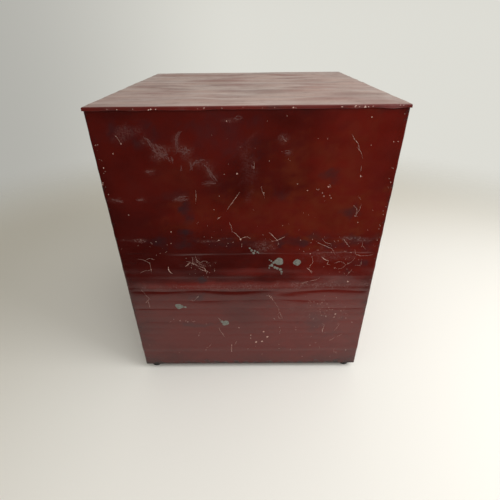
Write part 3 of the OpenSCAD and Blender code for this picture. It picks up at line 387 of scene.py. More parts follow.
def galvanised():
    # Hot-dip galvanised sheet: crystals of zinc 8 to 15 mm across, each tilted its own way, gone dull grey
    material, tree, shader, place, (haze, pits) = newMaterial(
        "galvanised_steel_sheet", ((60, 4), (3, 3)), Metallic=1.0)
    cells = addNode(tree, "TexVoronoi", {"Vector": place, "Scale": 1 / (11 * mm), "Randomness": 1.0}, "Color")
    tone = addNode(tree, "SeparateColor", {"Color": cells})
    share = addNode(tree, "MapRange", {0: tone}, **eased)
    colour = addNode(tree, "Mix", {0: share, 6: "#8b8f91", 7: "#b4b7b8"}, **blend)
    share = addNode(tree, "MapRange", {0: haze, 1: 0.45, 2: 0.75, 4: 0.5}, **eased)
    colour = addNode(tree, "Mix", {0: share, 6: colour, 7: "#7c7b76"}, **blend)
    gloss = addNode(tree, "MapRange", {0: tone, 3: 0.62, 4: 0.46}, **eased)
    wireUp(tree, shader, [(pits, 0.03)], Base_Color=colour, Roughness=gloss)
    return material


def rubber():
    # Moulded black rubber: matt, greyed by dust, with a fine moulded grain
    material, tree, shader, place, (dust, grain) = newMaterial("moulded_black_rubber", ((7, 5), (0.8, 2)))
    share = addNode(tree, "MapRange", {0: dust, 1: 0.45, 2: 0.8, 4: 0.6}, **eased)
    colour = addNode(tree, "Mix", {0: share, 6: "#121212", 7: "#3c3a37"}, **blend)
    gloss = addNode(tree, "MapRange", {0: dust, 1: 0.3, 2: 0.7, 3: 0.62, 4: 0.85}, **eased)
    wireUp(tree, shader, [(grain, 0.03)], Base_Color=colour, Roughness=gloss)
    return material


def acrylic():
    # Cast acrylic sheet: clear, faintly green, with hazy wiping scratches
    material, tree, shader, place, (wipes,) = newMaterial(
        "clear_acrylic_sheet", ((6, 4, 5, 1, 1.2),),
        Transmission_Weight=1.0, IOR=1.49, Base_Color=linear("#eef5f2"))
    wireUp(tree, shader, [], Roughness=addNode(
        tree, "MapRange", {0: wipes, 1: 0.5, 2: 0.8, 3: 0.01, 4: 0.07}, **eased))
    return material


def paperCard():
    # Blank card behind the frame: matt off-white board, yellowed in patches
    material, tree, shader, place, (fibre, stain) = newMaterial(
        "blank_paper_card", ((1.2, 4), (30, 4)), Roughness=0.85)
    share = addNode(tree, "MapRange", {0: fibre, 1: 0.3, 2: 0.7}, **eased)
    colour = addNode(tree, "Mix", {0: share, 6: "#ded8c8", 7: "#ebe6d9"}, **blend)
    share = addNode(tree, "MapRange", {0: stain, 1: 0.5, 2: 0.8, 4: 0.6}, **eased)
    colour = addNode(tree, "Mix", {0: share, 6: colour, 7: "#cbbd9b"}, **blend)
    wireUp(tree, shader, [(fibre, 0.02)], Base_Color=colour)
    return material


slotMaterials = {
    "oxblood_enamel": enamel,
    "galvanised_sheet": galvanised(),
    # Bright zinc plate on steel pressings and castings: cool, faintly yellow, a little cloudy
    "zinc_plate": metalFinish("bright_zinc_plate", "#c4c2b6", "#97958a", 0.30, 3),
    # Oiled spring wire and pins: dark grey drawn steel
    "spring_steel": metalFinish("oiled_spring_steel", "#77787a", "#4c4c4d", 0.30, 1.5, (1, 1, 4)),
    # Chrome plate on the trim that hands touch: mirror bright with fine pitting and fingermarks
    "chrome_trim": metalFinish("chrome_plate", "#dcdddf", "#a9a9a8", 0.10, 1.2, bump=0.008),
    "black_rubber": rubber(),
    "clear_sheet": acrylic(),
    "white_card": paperCard(),
}
for part in frame["record"]["subparts"]:
    node = frame["nodes"][part["node"]]
    node.data.materials.clear()
    node.data.materials.append(slotMaterials[part["material_slot"]])
print("materials ready")


# Cabinet: the folded wrap, with the dents and creases of a worn sheet; all lengths are in millimetres
wrapLow, wrapHigh = corners("cabinet_wrap")
topLow, topHigh = corners("top_panel")
sideX, backY, jambY = wrapHigh[0], wrapHigh[1], wrapLow[1]
bottomZ, topZ = wrapLow[2], wrapHigh[2]

skin = {
    "sheet": 1.0, "bend": 2.0, "bendSteps": 4, "jamb": 9.0, "rim": 22.0,
    "backStep": 4.6, "sideStep": 16.0, "fineStep": 1.3, "plainStep": 4.0, "fineBelow": 300.0,
    # height, depth, and reach above and below of each crease across the back, in millimetres
    "creases": (
        (291, 0.45, 2.4, 3.5), (264, 0.85, 2.6, 3.0), (238, 0.10, 2.6, 5), (190.8, 0.85, 11, 2.6),
        (171, 0.22, 6, 2.6), (153, 0.58, 6, 2.2), (139, 0.30, 5, 2.2), (122, 0.55, 6, 2.2),
        (106, 0.36, 6, 2.2), (92, 0.44, 5, 2.2), (78, 0.24, 4, 2.2), (60, 0.38, 6, 2.2),
        (46, 0.26, 5, 2.2), (31, 0.28, 5, 2.2),
    ),
    # x, z, half width, half height and depth of each dent in the back
    "dents": (
        (14, 214, 34, 12, 0.35), (-60, 214, 34, 9, -0.2), (110, 212, 40, 10, 0.2),
        (-150, 226, 40, 14, -0.45), (-20, 330, 90, 40, 0.8), (60, 400, 80, 50, -0.7),
        (-110, 420, 60, 40, 0.7), (-10, 150, 50, 12, 0.4), (-160, 380, 30, 60, -0.6),
        (150, 330, 40, 30, 0.5), (-64, 186, 22, 6, 0.5),
    ),
}


def wrapOutline(s):
    # the wrap seen from above, as points and outward normals: jamb, side, back, side and jamb
    b = s["bend"]

    def bendArc(x, y, fromAngle):
        turn = np.radians(np.linspace(fromAngle, fromAngle + 90, s["bendSteps"] + 1))
        return [(x + b * math.cos(a), y + b * math.sin(a), math.cos(a), math.sin(a)) for a in turn]

    def run(x0, y0, x1, y1, nx, ny, step):
        n = max(2, round(math.hypot(x1 - x0, y1 - y0) / step))
        return [(x0 + (x1 - x0) * i / n, y0 + (y1 - y0) * i / n, nx, ny) for i in range(1, n)]

    x, y0, y1 = sideX - b, jambY + b, backY - b
    right = [(sideX - s["jamb"], jambY, 0, -1)] + run(sideX - s["jamb"], jambY, x, jambY, 0, -1, 4)
    right += bendArc(x, y0, -90) + run(sideX, y0, sideX, y1, 1, 0, s["sideStep"]) + bendArc(x, y1, 0)
    back = run(x, backY, -x, backY, 0, 1, s["backStep"])
    left = [(-px, py, -nx, ny) for px, py, nx, ny in reversed(right)]
    return np.array(right + back + left)


def backRelief(x, z, s):
    # outward height of the back: gentle rolls, less sharp valleys that wander (creases), less round dents
    height = 0.5 * waves(x, z, 11, 210, 150) * smooth(z, 250, 330) + 0.08 * waves(x, z, 5, 120, 60)
    for i, (level, depth, above, below) in enumerate(s["creases"]):
        own = level + 0.9 * waves(x, x * 0, 40 + i, 190, 190)
        strength = np.clip(depth * (0.75 + 0.3 * waves(x, x * 0, 80 + i, 170, 170)), 0.2 * depth, None)
        height = height - strength * np.exp(-np.abs(z - own) / np.where(z > own, above, below))
    for cx, cz, halfX, halfZ, depth in s["dents"]:
        height = height - depth * np.exp(-((x - cx) / halfX) ** 2 - ((z - cz) / halfZ) ** 2)
    return height


def sideRelief(y, z, seed):
    # outward height of a side: a shallow drum with a few soft knocks, never in past the guides behind it
    height = 0.55 + 0.3 * waves(y, z, seed, 180, 140) + 0.25 * waves(y, z, seed + 1, 300, 45)
    return np.clip(height, 0.02, 1.5)


outline = wrapOutline(skin)
outX, outY, normX, normY = outline.T
fine = np.arange(bottomZ, skin["fineBelow"], skin["fineStep"])
plain = np.linspace(skin["fineBelow"], topZ, round((topZ - skin["fineBelow"]) / skin["plainStep"]) + 1)
levels = np.concatenate([fine, plain])
gridX, gridZ = np.meshgrid(outX, levels)
gridY = np.broadcast_to(outY, gridX.shape)
# how far each part of the relief counts at a place: it fades towards the folds, the base and the top
ends = smooth(gridZ, bottomZ + 22, bottomZ + 34) * (1 - smooth(gridZ, topZ - 9, topZ - 4.2))
onBack = smooth(normY, 0.99, 1.0) * (1 - smooth(np.abs(outX), sideX - 14, sideX - 2))
onSide = smooth(np.abs(normX), 0.99, 1.0) * smooth(outY, jambY + 4, jambY + 30)
onSide = onSide * (1 - smooth(outY, backY - 30, backY - 3))
nearEdge = smooth(outY, backY - 30, backY - 2)
# the back bulges anywhere, and sinks only above the base; the sides drum; the upright edges are knocked
backField = backRelief(gridX, gridZ, skin)
clearOfBase = smooth(gridZ, bottomZ + 22, bottomZ + 30)
backField = np.minimum(backField, 0.0) * clearOfBase + np.maximum(backField, 0.0)
relief = onBack * backField * (1 - smooth(gridZ, topZ - 14, topZ - 5))
drummed = np.where(gridX > 0, sideRelief(gridY, gridZ, 21), sideRelief(gridY, gridZ, 31))
relief = relief + onSide * ends * drummed
relief = relief + nearEdge * ends * 0.2 * np.clip(waves(gridX * 0, gridZ, 17, 60, 38), -0.2, 2)


def spots(x, z, places, seed, ragged=0.6):
    # soft blotches at (x, z, half width, half height, strength), frayed by short waves
    fray = 0.35 * waves(x, z, seed, 34, 26) + 0.2 * waves(x, z, seed + 1, 12, 10)
    amount = np.zeros(np.broadcast(x, z).shape)
    for cx, cz, halfX, halfZ, strength in places:
        far = np.sqrt(((x - cx) / halfX) ** 2 + ((z - cz) / halfZ) ** 2)
        amount = np.maximum(amount, strength * (1 - smooth(far + fray * ragged, 0.35, 1.15)))
    return amount


# x, z, half width, half height and strength of each patch of brighter red, most of it painted light: the key
# light's brightening towards -X, painted highlight bands near z 203 and z 231, and a painted floor reflection
# over the lower half
flushAndLightPlaces = (
    (20, 203, 200, 11, 0.7), (0, 231, 70, 10, 0.55), (-160, 390, 90, 150, 0.45),
    (-130, 320, 120, 70, 0.45), (-30, 330, 150, 50, 0.3), (60, 330, 90, 26, 0.25),
    (0, 95, 300, 120, 0.32), (-120, 120, 140, 140, 0.5), (-140, 250, 120, 60, 0.6),
    (60, 420, 80, 50, 0.15),
)
rustPlaces = (
    (-120, 330, 90, 60, 0.75), (-95, 395, 70, 60, 0.5), (-20, 350, 90, 35, 0.4), (60, 345, 60, 26, 0.4),
    (90, 395, 40, 40, 0.25), (-150, 420, 30, 80, 0.3), (-60, 290, 120, 14, 0.35),
    (100, 318, 50, 12, 0.35),
)
bruisePlaces = (
    (90, 338, 10, 22, 0.8), (93, 306, 14, 6, 0.8), (150, 450, 42, 18, 0.45), (-113, 391, 16, 10, 0.7),
    (-150, 338, 18, 12, 0.7), (78, 215, 9, 8, 0.85), (-59, 288, 24, 12, 0.75), (-84, 285, 14, 8, 0.7),
    (-107, 297, 30, 10, 0.5), (115, 288, 40, 12, 0.55), (20, 285, 60, 10, 0.45), (-170, 245, 16, 14, 0.6),
    (85, 178, 14, 12, 0.6), (100, 116, 40, 7, 0.5), (105, 366, 22, 8, 0.4), (-130, 120, 40, 30, 0.35),
    (-45, 365, 16, 10, 0.4), (-160, 285, 50, 14, 0.55), (35, 450, 50, 40, 0.3), (-150, 90, 30, 10, 0.4),
)
# x, z, half width, half height and strength of each pale mark: the long strips near z 200 are a painted
# reflection of the floor, the short strips near z 290 are painted highlight streaks along the crease, and the
# rest are rubbed paint
scuffAndSheenPlaces = (
    (40, 199, 190, 7, 0.28), (-120, 203, 80, 9, 0.46), (10, 200, 40, 8, 0.3), (132, 440, 10, 10, 0.3),
    (112, 426, 18, 11, 0.45), (91, 440, 6, 18, 0.35), (82, 428, 11, 9, 0.4), (66, 411, 13, 8, 0.3),
    (50, 396, 8, 16, 0.3), (54, 383, 13, 4, 0.3), (133, 400, 10, 4, 0.3), (185, 359, 12, 4, 0.3),
    (152, 359, 8, 4, 0.35), (97, 361, 16, 5, 0.3), (-49, 443, 7, 8, 0.4), (-54, 424, 8, 4, 0.3),
    (155, 452, 22, 12, 0.3), (-22, 279, 20, 10, 0.45), (-130, 262, 46, 12, 0.25), (80, 246, 24, 14, 0.2),
    (-165, 292, 34, 5, 0.5), (166, 291, 22, 3, 0.55), (60, 289, 14, 3, 0.4), (22, 465, 8, 4, 0.4),
    (0, 410, 12, 40, 0.2), (-120, 150, 50, 24, 0.22),
)


def wallPieces():
    rows, columns = gridX.shape
    outer = np.stack([gridX + normX * relief, gridY + normY * relief, gridZ], -1)
    inner = outer - skin["sheet"] * np.stack([normX + 0 * gridX, normY + 0 * gridX, 0 * gridX], -1)
    count = rows * columns
    rim = borderOf(np.arange(count).reshape(rows, columns))
    faces = np.concatenate([gridFaces(rows, columns), gridFaces(rows, columns, count, True),
                            stitch(rim + count, rim, closed=True)])
    back = normY > 0.5
    masks = {}
    for key, places, seed in (("flushAndLight", flushAndLightPlaces, 59), ("rust", rustPlaces, 61),
                              ("bruise", bruisePlaces, 63), ("scuffAndSheen", scuffAndSheenPlaces, 65)):
        on = spots(gridX, gridZ, places, seed, 0.15 if key == "flushAndLight" else 0.6) * back
        aside = np.clip(0.2 * waves(gridY, gridZ, seed + 10, 90, 70) - 0.12, 0, 0.4) * (~back)
        masks[key] = np.concatenate([(on + aside).ravel(), np.zeros(count)])
    # darker along the bottom edge, a faint painted shade under the top's turned edge along the seam, and grime
    # and bare black metal knocked into the four corners
    low = 1 - smooth(gridZ + 2.5 * waves(gridX + gridY, gridZ, 67, 30, 30), bottomZ + 1, bottomZ + 7)
    seam = 0.15 * (1 - smooth(topZ - gridZ + 2 * waves(gridX + gridY, gridZ * 0, 68, 40, 40), 3, 9))
    corner = np.maximum(sideX - np.abs(gridX), np.minimum(np.abs(gridY - backY), np.abs(gridY - jambY)))
    knocks = np.clip(waves(gridX * 0, gridZ, 69, 20, 15) - 0.35, 0, 1) * (1 - smooth(corner, 0.5, 3.5))
    masks["grimeAndShade"] = np.concatenate([np.clip(low + seam + 1.3 * knocks, 0, 1).ravel(), np.zeros(count)])
    points = np.concatenate([outer.reshape(-1, 3), inner.reshape(-1, 3)])
    piece = meshPiece("cabinet_skin", points, faces, enamel, "cabinet", masks)
    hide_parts("cabinet_wrap")

    # the wrap's flanges, turned in under the top and over the feet
    s, rim = skin["sheet"], skin["rim"]
    x, y = sideX - s, backY - s
    path = ((x, jambY + s), (x, y), (-x, y), (-x, jambY + s), (rim - x, jambY + s), (rim - x, y - rim),
            (x - rim, y - rim), (x - rim, jambY + s))
    under = ((0, 7, 6, 1), (1, 6, 5, 2), (2, 5, 4, 3))
    points, faces = [], []
    for level in (bottomZ, topZ - s):
        a = len(points)
        b = a + 8
        points += [(px, py, z) for z in (level, level + s) for px, py in path]
        faces += [[a + i for i in f] for f in under] + [[b + i for i in f[::-1]] for f in under]
        faces += [[a + i, a + (i + 1) % 8, b + (i + 1) % 8, b + i] for i in range(8)]
    meshPiece("cabinet_flanges", points, faces, enamel, "cabinet", angle=30)


wallPieces()
print("cabinet skin made")


def onBackFace(x, z):
    # y of the skin at a place on the back, read off its own grid
    back = (normY > 0.999)
    order = np.argsort(outX[back])
    columns = outX[back][order]
    sheet = (gridY + relief)[:, back][:, order]
    i = np.clip(np.searchsorted(columns, x) - 1, 0, len(columns) - 2)
    j = np.clip(np.searchsorted(levels, z) - 1, 0, len(levels) - 2)
    u = np.clip((x - columns[i]) / (columns[i + 1] - columns[i]), 0, 1)
    v = np.clip((z - levels[j]) / (levels[j + 1] - levels[j]), 0, 1)
    return ((1 - v) * ((1 - u) * sheet[j, i] + u * sheet[j, i + 1])
            + v * ((1 - u) * sheet[j + 1, i] + u * sheet[j + 1, i + 1]))


# Wear on the back: scratches, rubs, chips and dried drops, each a thin skin on the sheet.
# Width, then the places the line passes through
scratches = (
    (0.7, (11, 370), (16, 362), (24, 351), (31, 341)), (0.9, (40, 331), (45, 327)),
    (0.4, (73, 373), (73, 362), (75, 352)), (0.8, (24, 306), (18, 302), (13, 295), (11, 289)),
    (0.5, (11, 293), (2, 297), (-4, 293)), (0.5, (49, 288), (45, 291), (43, 289)),
    (0.4, (10, 285), (10, 277)), (0.4, (28, 322), (25, 314), (24, 306)),
    (0.8, (-32, 304), (-38, 297), (-44, 290)), (0.9, (-44, 290), (-50, 293), (-55, 296)),
    (0.4, (-44, 290), (-47, 284), (-43, 280)), (0.4, (-44, 290), (-37, 288), (-32, 293)),
    (1.6, (129, 243), (129, 236), (127, 231), (123, 229)),
    (0.8, (98, 253), (90, 249), (81, 244), (73, 240), (66, 231)), (0.9, (93, 251), (97, 246), (101, 243)),
    (0.5, (83, 254), (78, 247), (68, 243)), (0.5, (84, 262), (81, 253), (73, 249)),
    (0.7, (80, 240), (74, 235), (65, 233)), (0.4, (76, 251), (69, 253), (63, 250)),
    (0.5, (73, 244), (70, 236), (69, 228)), (0.4, (89, 261), (88, 251), (92, 244)),
    (0.4, (175, 258), (164, 255), (158, 250), (157, 240), (157, 230)),
    (0.4, (177, 229), (169, 235), (158, 236)), (0.4, (164, 255), (156, 259), (148, 256)),
    (0.8, (85, 182), (89, 178), (92, 174)), (0.5, (92, 174), (96, 171), (98, 173)),
    (0.7, (178, 167), (173, 173), (171, 175)), (0.4, (173, 173), (172, 155)),
    (1.3, (-115, 259), (-120, 255), (-127, 251)), (0.8, (-127, 251), (-125, 245), (-130, 244)),
    (0.6, (-104, 287), (-113, 282), (-121, 278), (-130, 274), (-136, 262)),
    (0.6, (-144, 293), (-149, 286), (-157, 277)), (0.4, (-112, 293), (-119, 285), (-128, 283)),
    (0.4, (-165, 273), (-168, 263), (-178, 260), (-188, 261), (-196, 263)),
    (0.4, (-168, 258), (-166, 252), (-162, 249), (-155, 243), (-149, 237), (-143, 236)),
    (0.4, (-179, 255), (-179, 243), (-168, 242)), (0.4, (-166, 235), (-162, 228), (-159, 222)),
    (0.4, (-155, 243), (-150, 249), (-142, 250), (-137, 247)),
    (0.3, (-176, 289), (-175, 280), (-182, 273)), (0.5, (-96, 237), (-102, 228)),
    (0.6, (-92, 240), (-96, 236), (-103, 230)), (0.4, (-100, 260), (-102, 250), (-98, 241), (-96, 237)),
    (0.6, (-85, 205), (-91, 208), (-98, 211)), (0.5, (-101, 212), (-110, 214), (-116, 218)),
    (0.7, (-33, 181), (-38, 176), (-43, 168)),
    (0.4, (-43, 168), (-50, 155), (-53, 143), (-57, 134), (-58, 129), (-54, 128), (-50, 136), (-52, 142)),
    (0.5, (-42, 130), (-46, 127)), (0.4, (-29, 181), (-34, 183), (-39, 177)),
    (0.5, (-129, 117), (-134, 113), (-134, 105)), (0.8, (-134, 105), (-132, 101), (-133, 93)),
    (0.6, (-147, 73), (-153, 76), (-157, 81)), (0.5, (-161, 83), (-171, 90)),
    (0.4, (-159, 53), (-160, 42), (-168, 38)), (0.4, (-154, 97), (-158, 105), (-162, 115)),
    (0.4, (57, 109), (52, 97), (46, 84)), (0.4, (57, 133), (51, 126)),
    (0.4, (83, 55), (77, 58), (71, 66)), (0.5, (34, 65), (35, 49)), (0.4, (24, 73), (28, 65)),
    (0.5, (-135, 447), (-139, 441), (-144, 436), (-148, 427)),
    (0.4, (-144, 431), (-150, 424), (-154, 416)), (0.4, (-154, 407), (-154, 397)),
    (0.5, (-155, 393), (-155, 389)), (0.4, (-151, 348), (-157, 343), (-159, 334)),
    (0.4, (-162, 350), (-162, 341), (-157, 335), (-160, 328)), (0.3, (-156, 362), (-161, 356)),
    (0.4, (-9, 407), (-8, 402)), (0.4, (-20, 374), (-22, 368), (-24, 360)), (0.4, (-20, 378), (-20, 372)),
    (0.4, (-9, 413), (-10, 402)), (0.5, (169, 449), (167, 444), (164, 438)),
    (0.8, (169, 448), (168, 446)), (0.4, (-114, 380), (-116, 375)),
    (0.4, (-101, 374), (-99, 371), (-96, 373)), (0.3, (-47, 442), (-52, 438)),
    (0.3, (181, 196), (169, 174)), (0.4, (-102, 171), (-108, 164)), (0.3, (-57, 103), (-54, 91)),
)
rubs = (
    (0.5, (5, 468), (10, 466.5), (16, 468), (11, 470.2), (5, 468.2)),
    (2.2, (132, 445), (129, 442), (126, 437), (123, 430), (120, 425)),
    (3, (123, 431), (117, 427), (111, 423), (104, 425)), (2.4, (117, 435), (113, 428), (108, 419)),
    (1.6, (108, 420), (104, 415), (100, 413)), (1.4, (100, 413), (101, 420)),
    (1.6, (85, 453), (90, 448), (92, 442), (93, 433), (96, 425)), (2.2, (89, 430), (83, 428), (75, 426)),
    (2, (82, 434), (80, 429), (87, 425)), (2.2, (74, 409), (71, 413), (64, 414), (58, 413)),
    (2.2, (58, 413), (54, 407), (52, 400), (47, 392), (43, 385)), (1.6, (44, 384), (53, 384), (63, 382)),
    (1.4, (74, 413), (74, 406), (76, 401)), (1.2, (89, 406), (90, 401)), (1.5, (138, 400), (129, 401)),
    (1.6, (157, 359), (149, 358)), (1.4, (193, 361), (177, 357)), (1.4, (105, 357), (96, 363), (87, 363)),
    (1.2, (102, 357), (84, 358)), (1.5, (-47, 445), (-49, 442), (-53, 441)),
    (1.4, (-51, 424), (-58, 423)), (1, (-6, 407), (-9, 404)), (1.2, (22, 465), (21, 464)),
)
# x, z, half width, half height and number of the specks in each patch of spatter
speckle = (
    (-140, 140, 22, 22, 40), (-120, 285, 30, 12, 26), (-150, 250, 18, 14, 20), (75, 245, 16, 12, 22),
    (150, 284, 20, 10, 16), (110, 124, 14, 3, 10), (-60, 330, 60, 20, 16), (40, 300, 30, 12, 14),
    (0, 60, 90, 20, 24), (-20, 420, 60, 24, 14), (196, 395, 1.5, 30, 12), (-196, 330, 1.5, 60, 16),
)
# x, z and radius: on the turned-down edge of the top, then on the back itself
lipChips = (
    (-58, 480.2, 0.7), (-61, 479.6, 0.5), (-118, 480.6, 0.8), (-134, 480.9, 1.0), (-139, 480.4, 0.6),
    (-146, 479.8, 1.2), (-150, 480.3, 0.7), (-156, 480.6, 0.9), (-189, 480.5, 1.3), (-193, 480.9, 0.8),
    (-176, 479.6, 0.6), (-90, 480, 0.5), (118, 479.4, 0.9), (121, 479.2, 0.6), (112, 479.8, 0.5),
    (60, 479.8, 0.5), (52, 480.6, 0.7), (30, 480.2, 0.5), (4, 480.7, 0.6), (140, 480.2, 0.5),
    (160, 479.8, 0.6), (172, 480.4, 0.5), (-20, 480.1, 0.4), (-35, 480.6, 0.5),
)
chips = (
    (14, 396, 0.9), (-155, 391, 0.8), (-113, 376, 1.1), (-84, 371, 0.8), (-163, 210, 1.3), (25, 465, 0.7),
    (164, 438, 0.7), (12, 292, 1.3), (-44, 290, 0.8), (19, 107, 0.9), (-2, 88, 1), (-2, 80, 0.8),
    (-12, 70, 1.6), (-23, 72, 1.3), (-33, 84, 1.7), (-26, 96, 1.2), (34, 62, 0.8), (35, 49, 0.7),
    (-105, 367, 0.6), (-108, 362, 0.6), (-116, 363, 0.6), (-118, 359, 0.6), (-151, 139, 1.2),
    (-150, 132, 0.8), (-111, 167, 0.6), (-118, 163, 0.6), (-125, 165, 0.6), (-134, 162, 0.6),
    (-138, 153, 0.6), (-160, 146, 0.6), (-171, 129, 0.6), (-183, 119, 0.6), (-159, 115, 0.6),
    (-135, 134, 0.6), (-124, 144, 0.6), (177, 425, 0.7), (194, 406, 0.8), (200, 385, 0.7),
    (201, 382, 0.7), (174, 335, 0.6), (45, 291, 0.6), (-80, 290, 0.6), (-97, 265, 0.7), (157, 237, 0.6),
    (116, 306, 0.8), (-51, 470, 0.5), (-23, 368, 0.6), (-198, 382, 0.6), (-191, 437, 0.6),
    (-157, 468, 0.6), (-162, 433, 0.5), (124, 125, 0.7), (110, 122, 0.6), (100, 122, 0.6), (35, 46, 0.7),
    (-182, 47, 0.7), (-164, 42, 0.6), (-23, 38, 0.6), (83, 50, 0.6), (188, 64, 0.6), (-113, 61, 0.6),
    (-84, 101, 0.5),
)
drops = (
    (-48, 251, 6.8), (-40, 249, 2.2), (-36, 252, 1.5), (-33, 254, 1.0), (-37, 244, 2.4), (-42, 240, 2.4),
    (-46, 238, 2.2), (-51, 236, 2.6), (-53, 231, 1.9), (-53, 227, 1.2), (-34, 243, 1.6), (-33, 239, 1.3),
    (-77, 249, 5.6), (122, 159, 5.8), (116, 158, 2.6), (111, 157, 2.0), (43, 119, 6.0), (49, 122, 2.6),
    (52, 126, 1.0), (-5, 272, 2.0), (-8, 267, 2.2), (-14, 269, 1.5), (-2, 276, 1.4), (-16, 267, 1.0),
    (-10, 271, 1.6),
)


def strand(path, width, rng, rise=0.1, wobble=0.35):
    # a flat strand: its width swells, thins and ends in points; its section is a low roof over a shallow keel
    path = np.array(path, float)
    along = np.append(0, np.cumsum(np.hypot(*np.diff(path, axis=0).T)))
    count = max(5, round(along[-1] / 1.2) + 2)
    t = np.linspace(0, 1, count)
    shake = [np.convolve(rng.normal(0, wobble, count + 2), [0.3, 0.4, 0.3], "valid") for _ in range(2)]
    x, z = [np.interp(t * along[-1], along, path[:, i]) + shake[i] for i in range(2)]
    half = 0.5 * width * rng.uniform(0.15, 1.3, count) * np.sqrt(np.sin(np.pi * np.clip(t, 0.03, 0.97)))
    dx, dz = np.gradient(x), np.gradient(z)
    size = np.hypot(dx, dz) + 1e-6
    asideX, asideZ = -dz / size * half, dx / size * half
    px = np.stack([x + asideX, x, x - asideX, x], 1)
    pz = np.stack([z + asideZ, z, z - asideZ, z], 1)
    py = onBackFace(px, pz) + np.array([0.03, rise, 0.03, -0.25])
    return closedRings(np.stack([px, py, pz], -1))


def drop(x, z, radius, rng, rise, ragged, face=None):
    # a round drop: height = rise (1 - r^4) inside a rim that strays from a circle by the ragged share
    turn = np.linspace(0, 2 * np.pi, 21)[:-1]
    rim = radius * (1 + ragged * waves(np.cos(turn), np.sin(turn), int(rng.integers(1e6)), 2.2, 2.2, 5))
    share = np.array([0.1, 0.4, 0.7, 0.9, 1.0, 1.0])[:, None]
    px, pz = x + share * rim * np.cos(turn), z + share * rim * np.sin(turn)
    lift = np.append(rise * (1 - share[:5, 0] ** 4) + 0.02, -0.25)[:, None]
    return closedRings(np.stack([px, (face or onBackFace)(px, pz) + lift, pz], -1))


def closedRings(rings):
    # rings joined one to the next, with a flat face on the first and the last, turned to face outwards
    count, around = rings.shape[:2]
    points = rings.reshape(-1, 3)
    quads = gridFaces(count, around, closed=True)
    faces = quads.tolist() + [list(range(around))[::-1], list(range((count - 1) * around, count * around))]
    return points, [f[::-1] for f in faces] if insideOut(points, quads) else faces


def band(rings):
    # closed rings joined one to the next and the last to the first, as a frame with a hole through it
    count, around = rings.shape[:2]
    quads = gridFaces(count + 1, around, closed=True) % (count * around)
    points = rings.reshape(-1, 3)
    return points, (quads[:, ::-1] if insideOut(points, quads) else quads).tolist()


def insideOut(points, quads):
    # the enclosed volume, a sum of triple products about the middle, is negative if the quads face in
    a, b, c, d = [points[quads[:, i]] - points.mean(0) for i in range(4)]
    return np.einsum("ij,ij->", a, np.cross(b, c)) + np.einsum("ij,ij->", a, np.cross(c, d)) < 0


def gather(name, parts, material, body, angle=50):
    # several closed shapes as one piece
    points, faces, start = [], [], 0
    for own, shape in parts:
        points.append(own)
        faces += [[i + start for i in f] for f in shape]
        start += len(own)
    return meshPiece(name, np.concatenate(points), faces, material, body, angle=angle)


def wearMaterial(name, low, high, roughness, cell):
    # two tones of the same stuff in small cells, matt beside the gloss around it
    material, tree, shader, place, (fleck,) = newMaterial(name, ((cell, 4),), Roughness=roughness)
    share = addNode(tree, "MapRange", {0: fleck, 1: 0.3, 2: 0.7}, **eased)
    colour = addNode(tree, "Mix", {0: share, 6: low, 7: high}, **blend)
    wireUp(tree, shader, [(fleck, 0.02)], Base_Color=colour)
    return material


def wearOnBack():
    rng = np.random.default_rng(7)
    # Scratches down to the primer: dull pinkish white with darker specks
    primer = wearMaterial("scratched_primer", "#9a6558", "#dcbfb2", 0.7, 1.1)
    parts = [strand(path, 0.8 * width, rng) for width, *path in scratches]
    parts += [drop(x, z, radius, rng, 0.06, 0.3) for x, z, radius in chips]
    for x, z, halfX, halfZ, count in speckle:
        across, up = rng.normal(x, halfX, count), rng.normal(z, halfZ, count)
        for a, b, size in zip(across, up, rng.uniform(0.18, 0.5, count)):
            if abs(a) < sideX - 4 and bottomZ + 4 < b < topZ - 8:  # none off the edge of the back
                parts.append(drop(a, b, size, rng, 0.05, 0.35))
    for x, z, radius in lipChips:
        parts.append(drop(x, z, radius, rng, 0.05, 0.35, lambda a, b: topHigh[1] + 0.1 + 0 * a))
    gather("back_scratches", parts, primer, "cabinet")
    # Rubbed places: the enamel burnished to a mauve haze, drawn as bundles of fine strokes
    haze = wearMaterial("rubbed_enamel", "#4e1f1c", "#6c4542", 0.45, 1.0)
    parts = []
    for width, *path in rubs:
        for share in (0.45, 0.3, 0.55, 0.25, 0.35):
            aside = rng.normal(0, 0.8 * width, 2)
            keep = max(2, round(len(path) * rng.uniform(0.6, 1)))
            first = rng.integers(0, len(path) - keep + 1)
            own = np.array(path[first:first + keep]) + aside
            parts.append(strand(own, 1.5 * share * width, rng, 0.06, 0.7))
    gather("back_rubs", parts, haze, "cabinet")
    # Dried splashes of grey filler: matt grey-green, a little domed
    filler = wearMaterial("dried_grey_filler", "#5c5d56", "#7e7d75", 0.6, 2.5)
    parts = [drop(x, z, radius, rng, 0.10 + 0.05 * radius, 0.1) for x, z, radius in drops]
    gather("dried_drops", parts, filler, "cabinet")


wearOnBack()
print("wear on the back made")


# Top panel: a laid-on sheet with its edge turned down
topSkin = {
    "sheet": 1.0, "step": 4.0, "edge": 1.6, "edgeSteps": 4,
    "wave": 0.75, "ripple": 0.35, "heldDown": 26.0,  # the ripples reach full height this far in from the edge
    "dip": 0.4, "deepDip": 0.5, "flange": (24, 60),  # valleys stay shallow over the wrap's flange
    "gapAt": -178.0, "gapWidth": 16.0, "gapDepth": 0.9,  # where the edge stands off the back
}


def topRelief(x, y, s, border):
    # height of the top: long ripples from side to side, kept clear of the flange below
    ripple = s["wave"] * waves(x, y, 71, 330, 62) + s["ripple"] * waves(x, y, 73, 120, 30)
    return np.maximum(np.clip(ripple, -0.9, 1.9), -s["dip"] - s["deepDip"] * smooth(border, *s["flange"]))


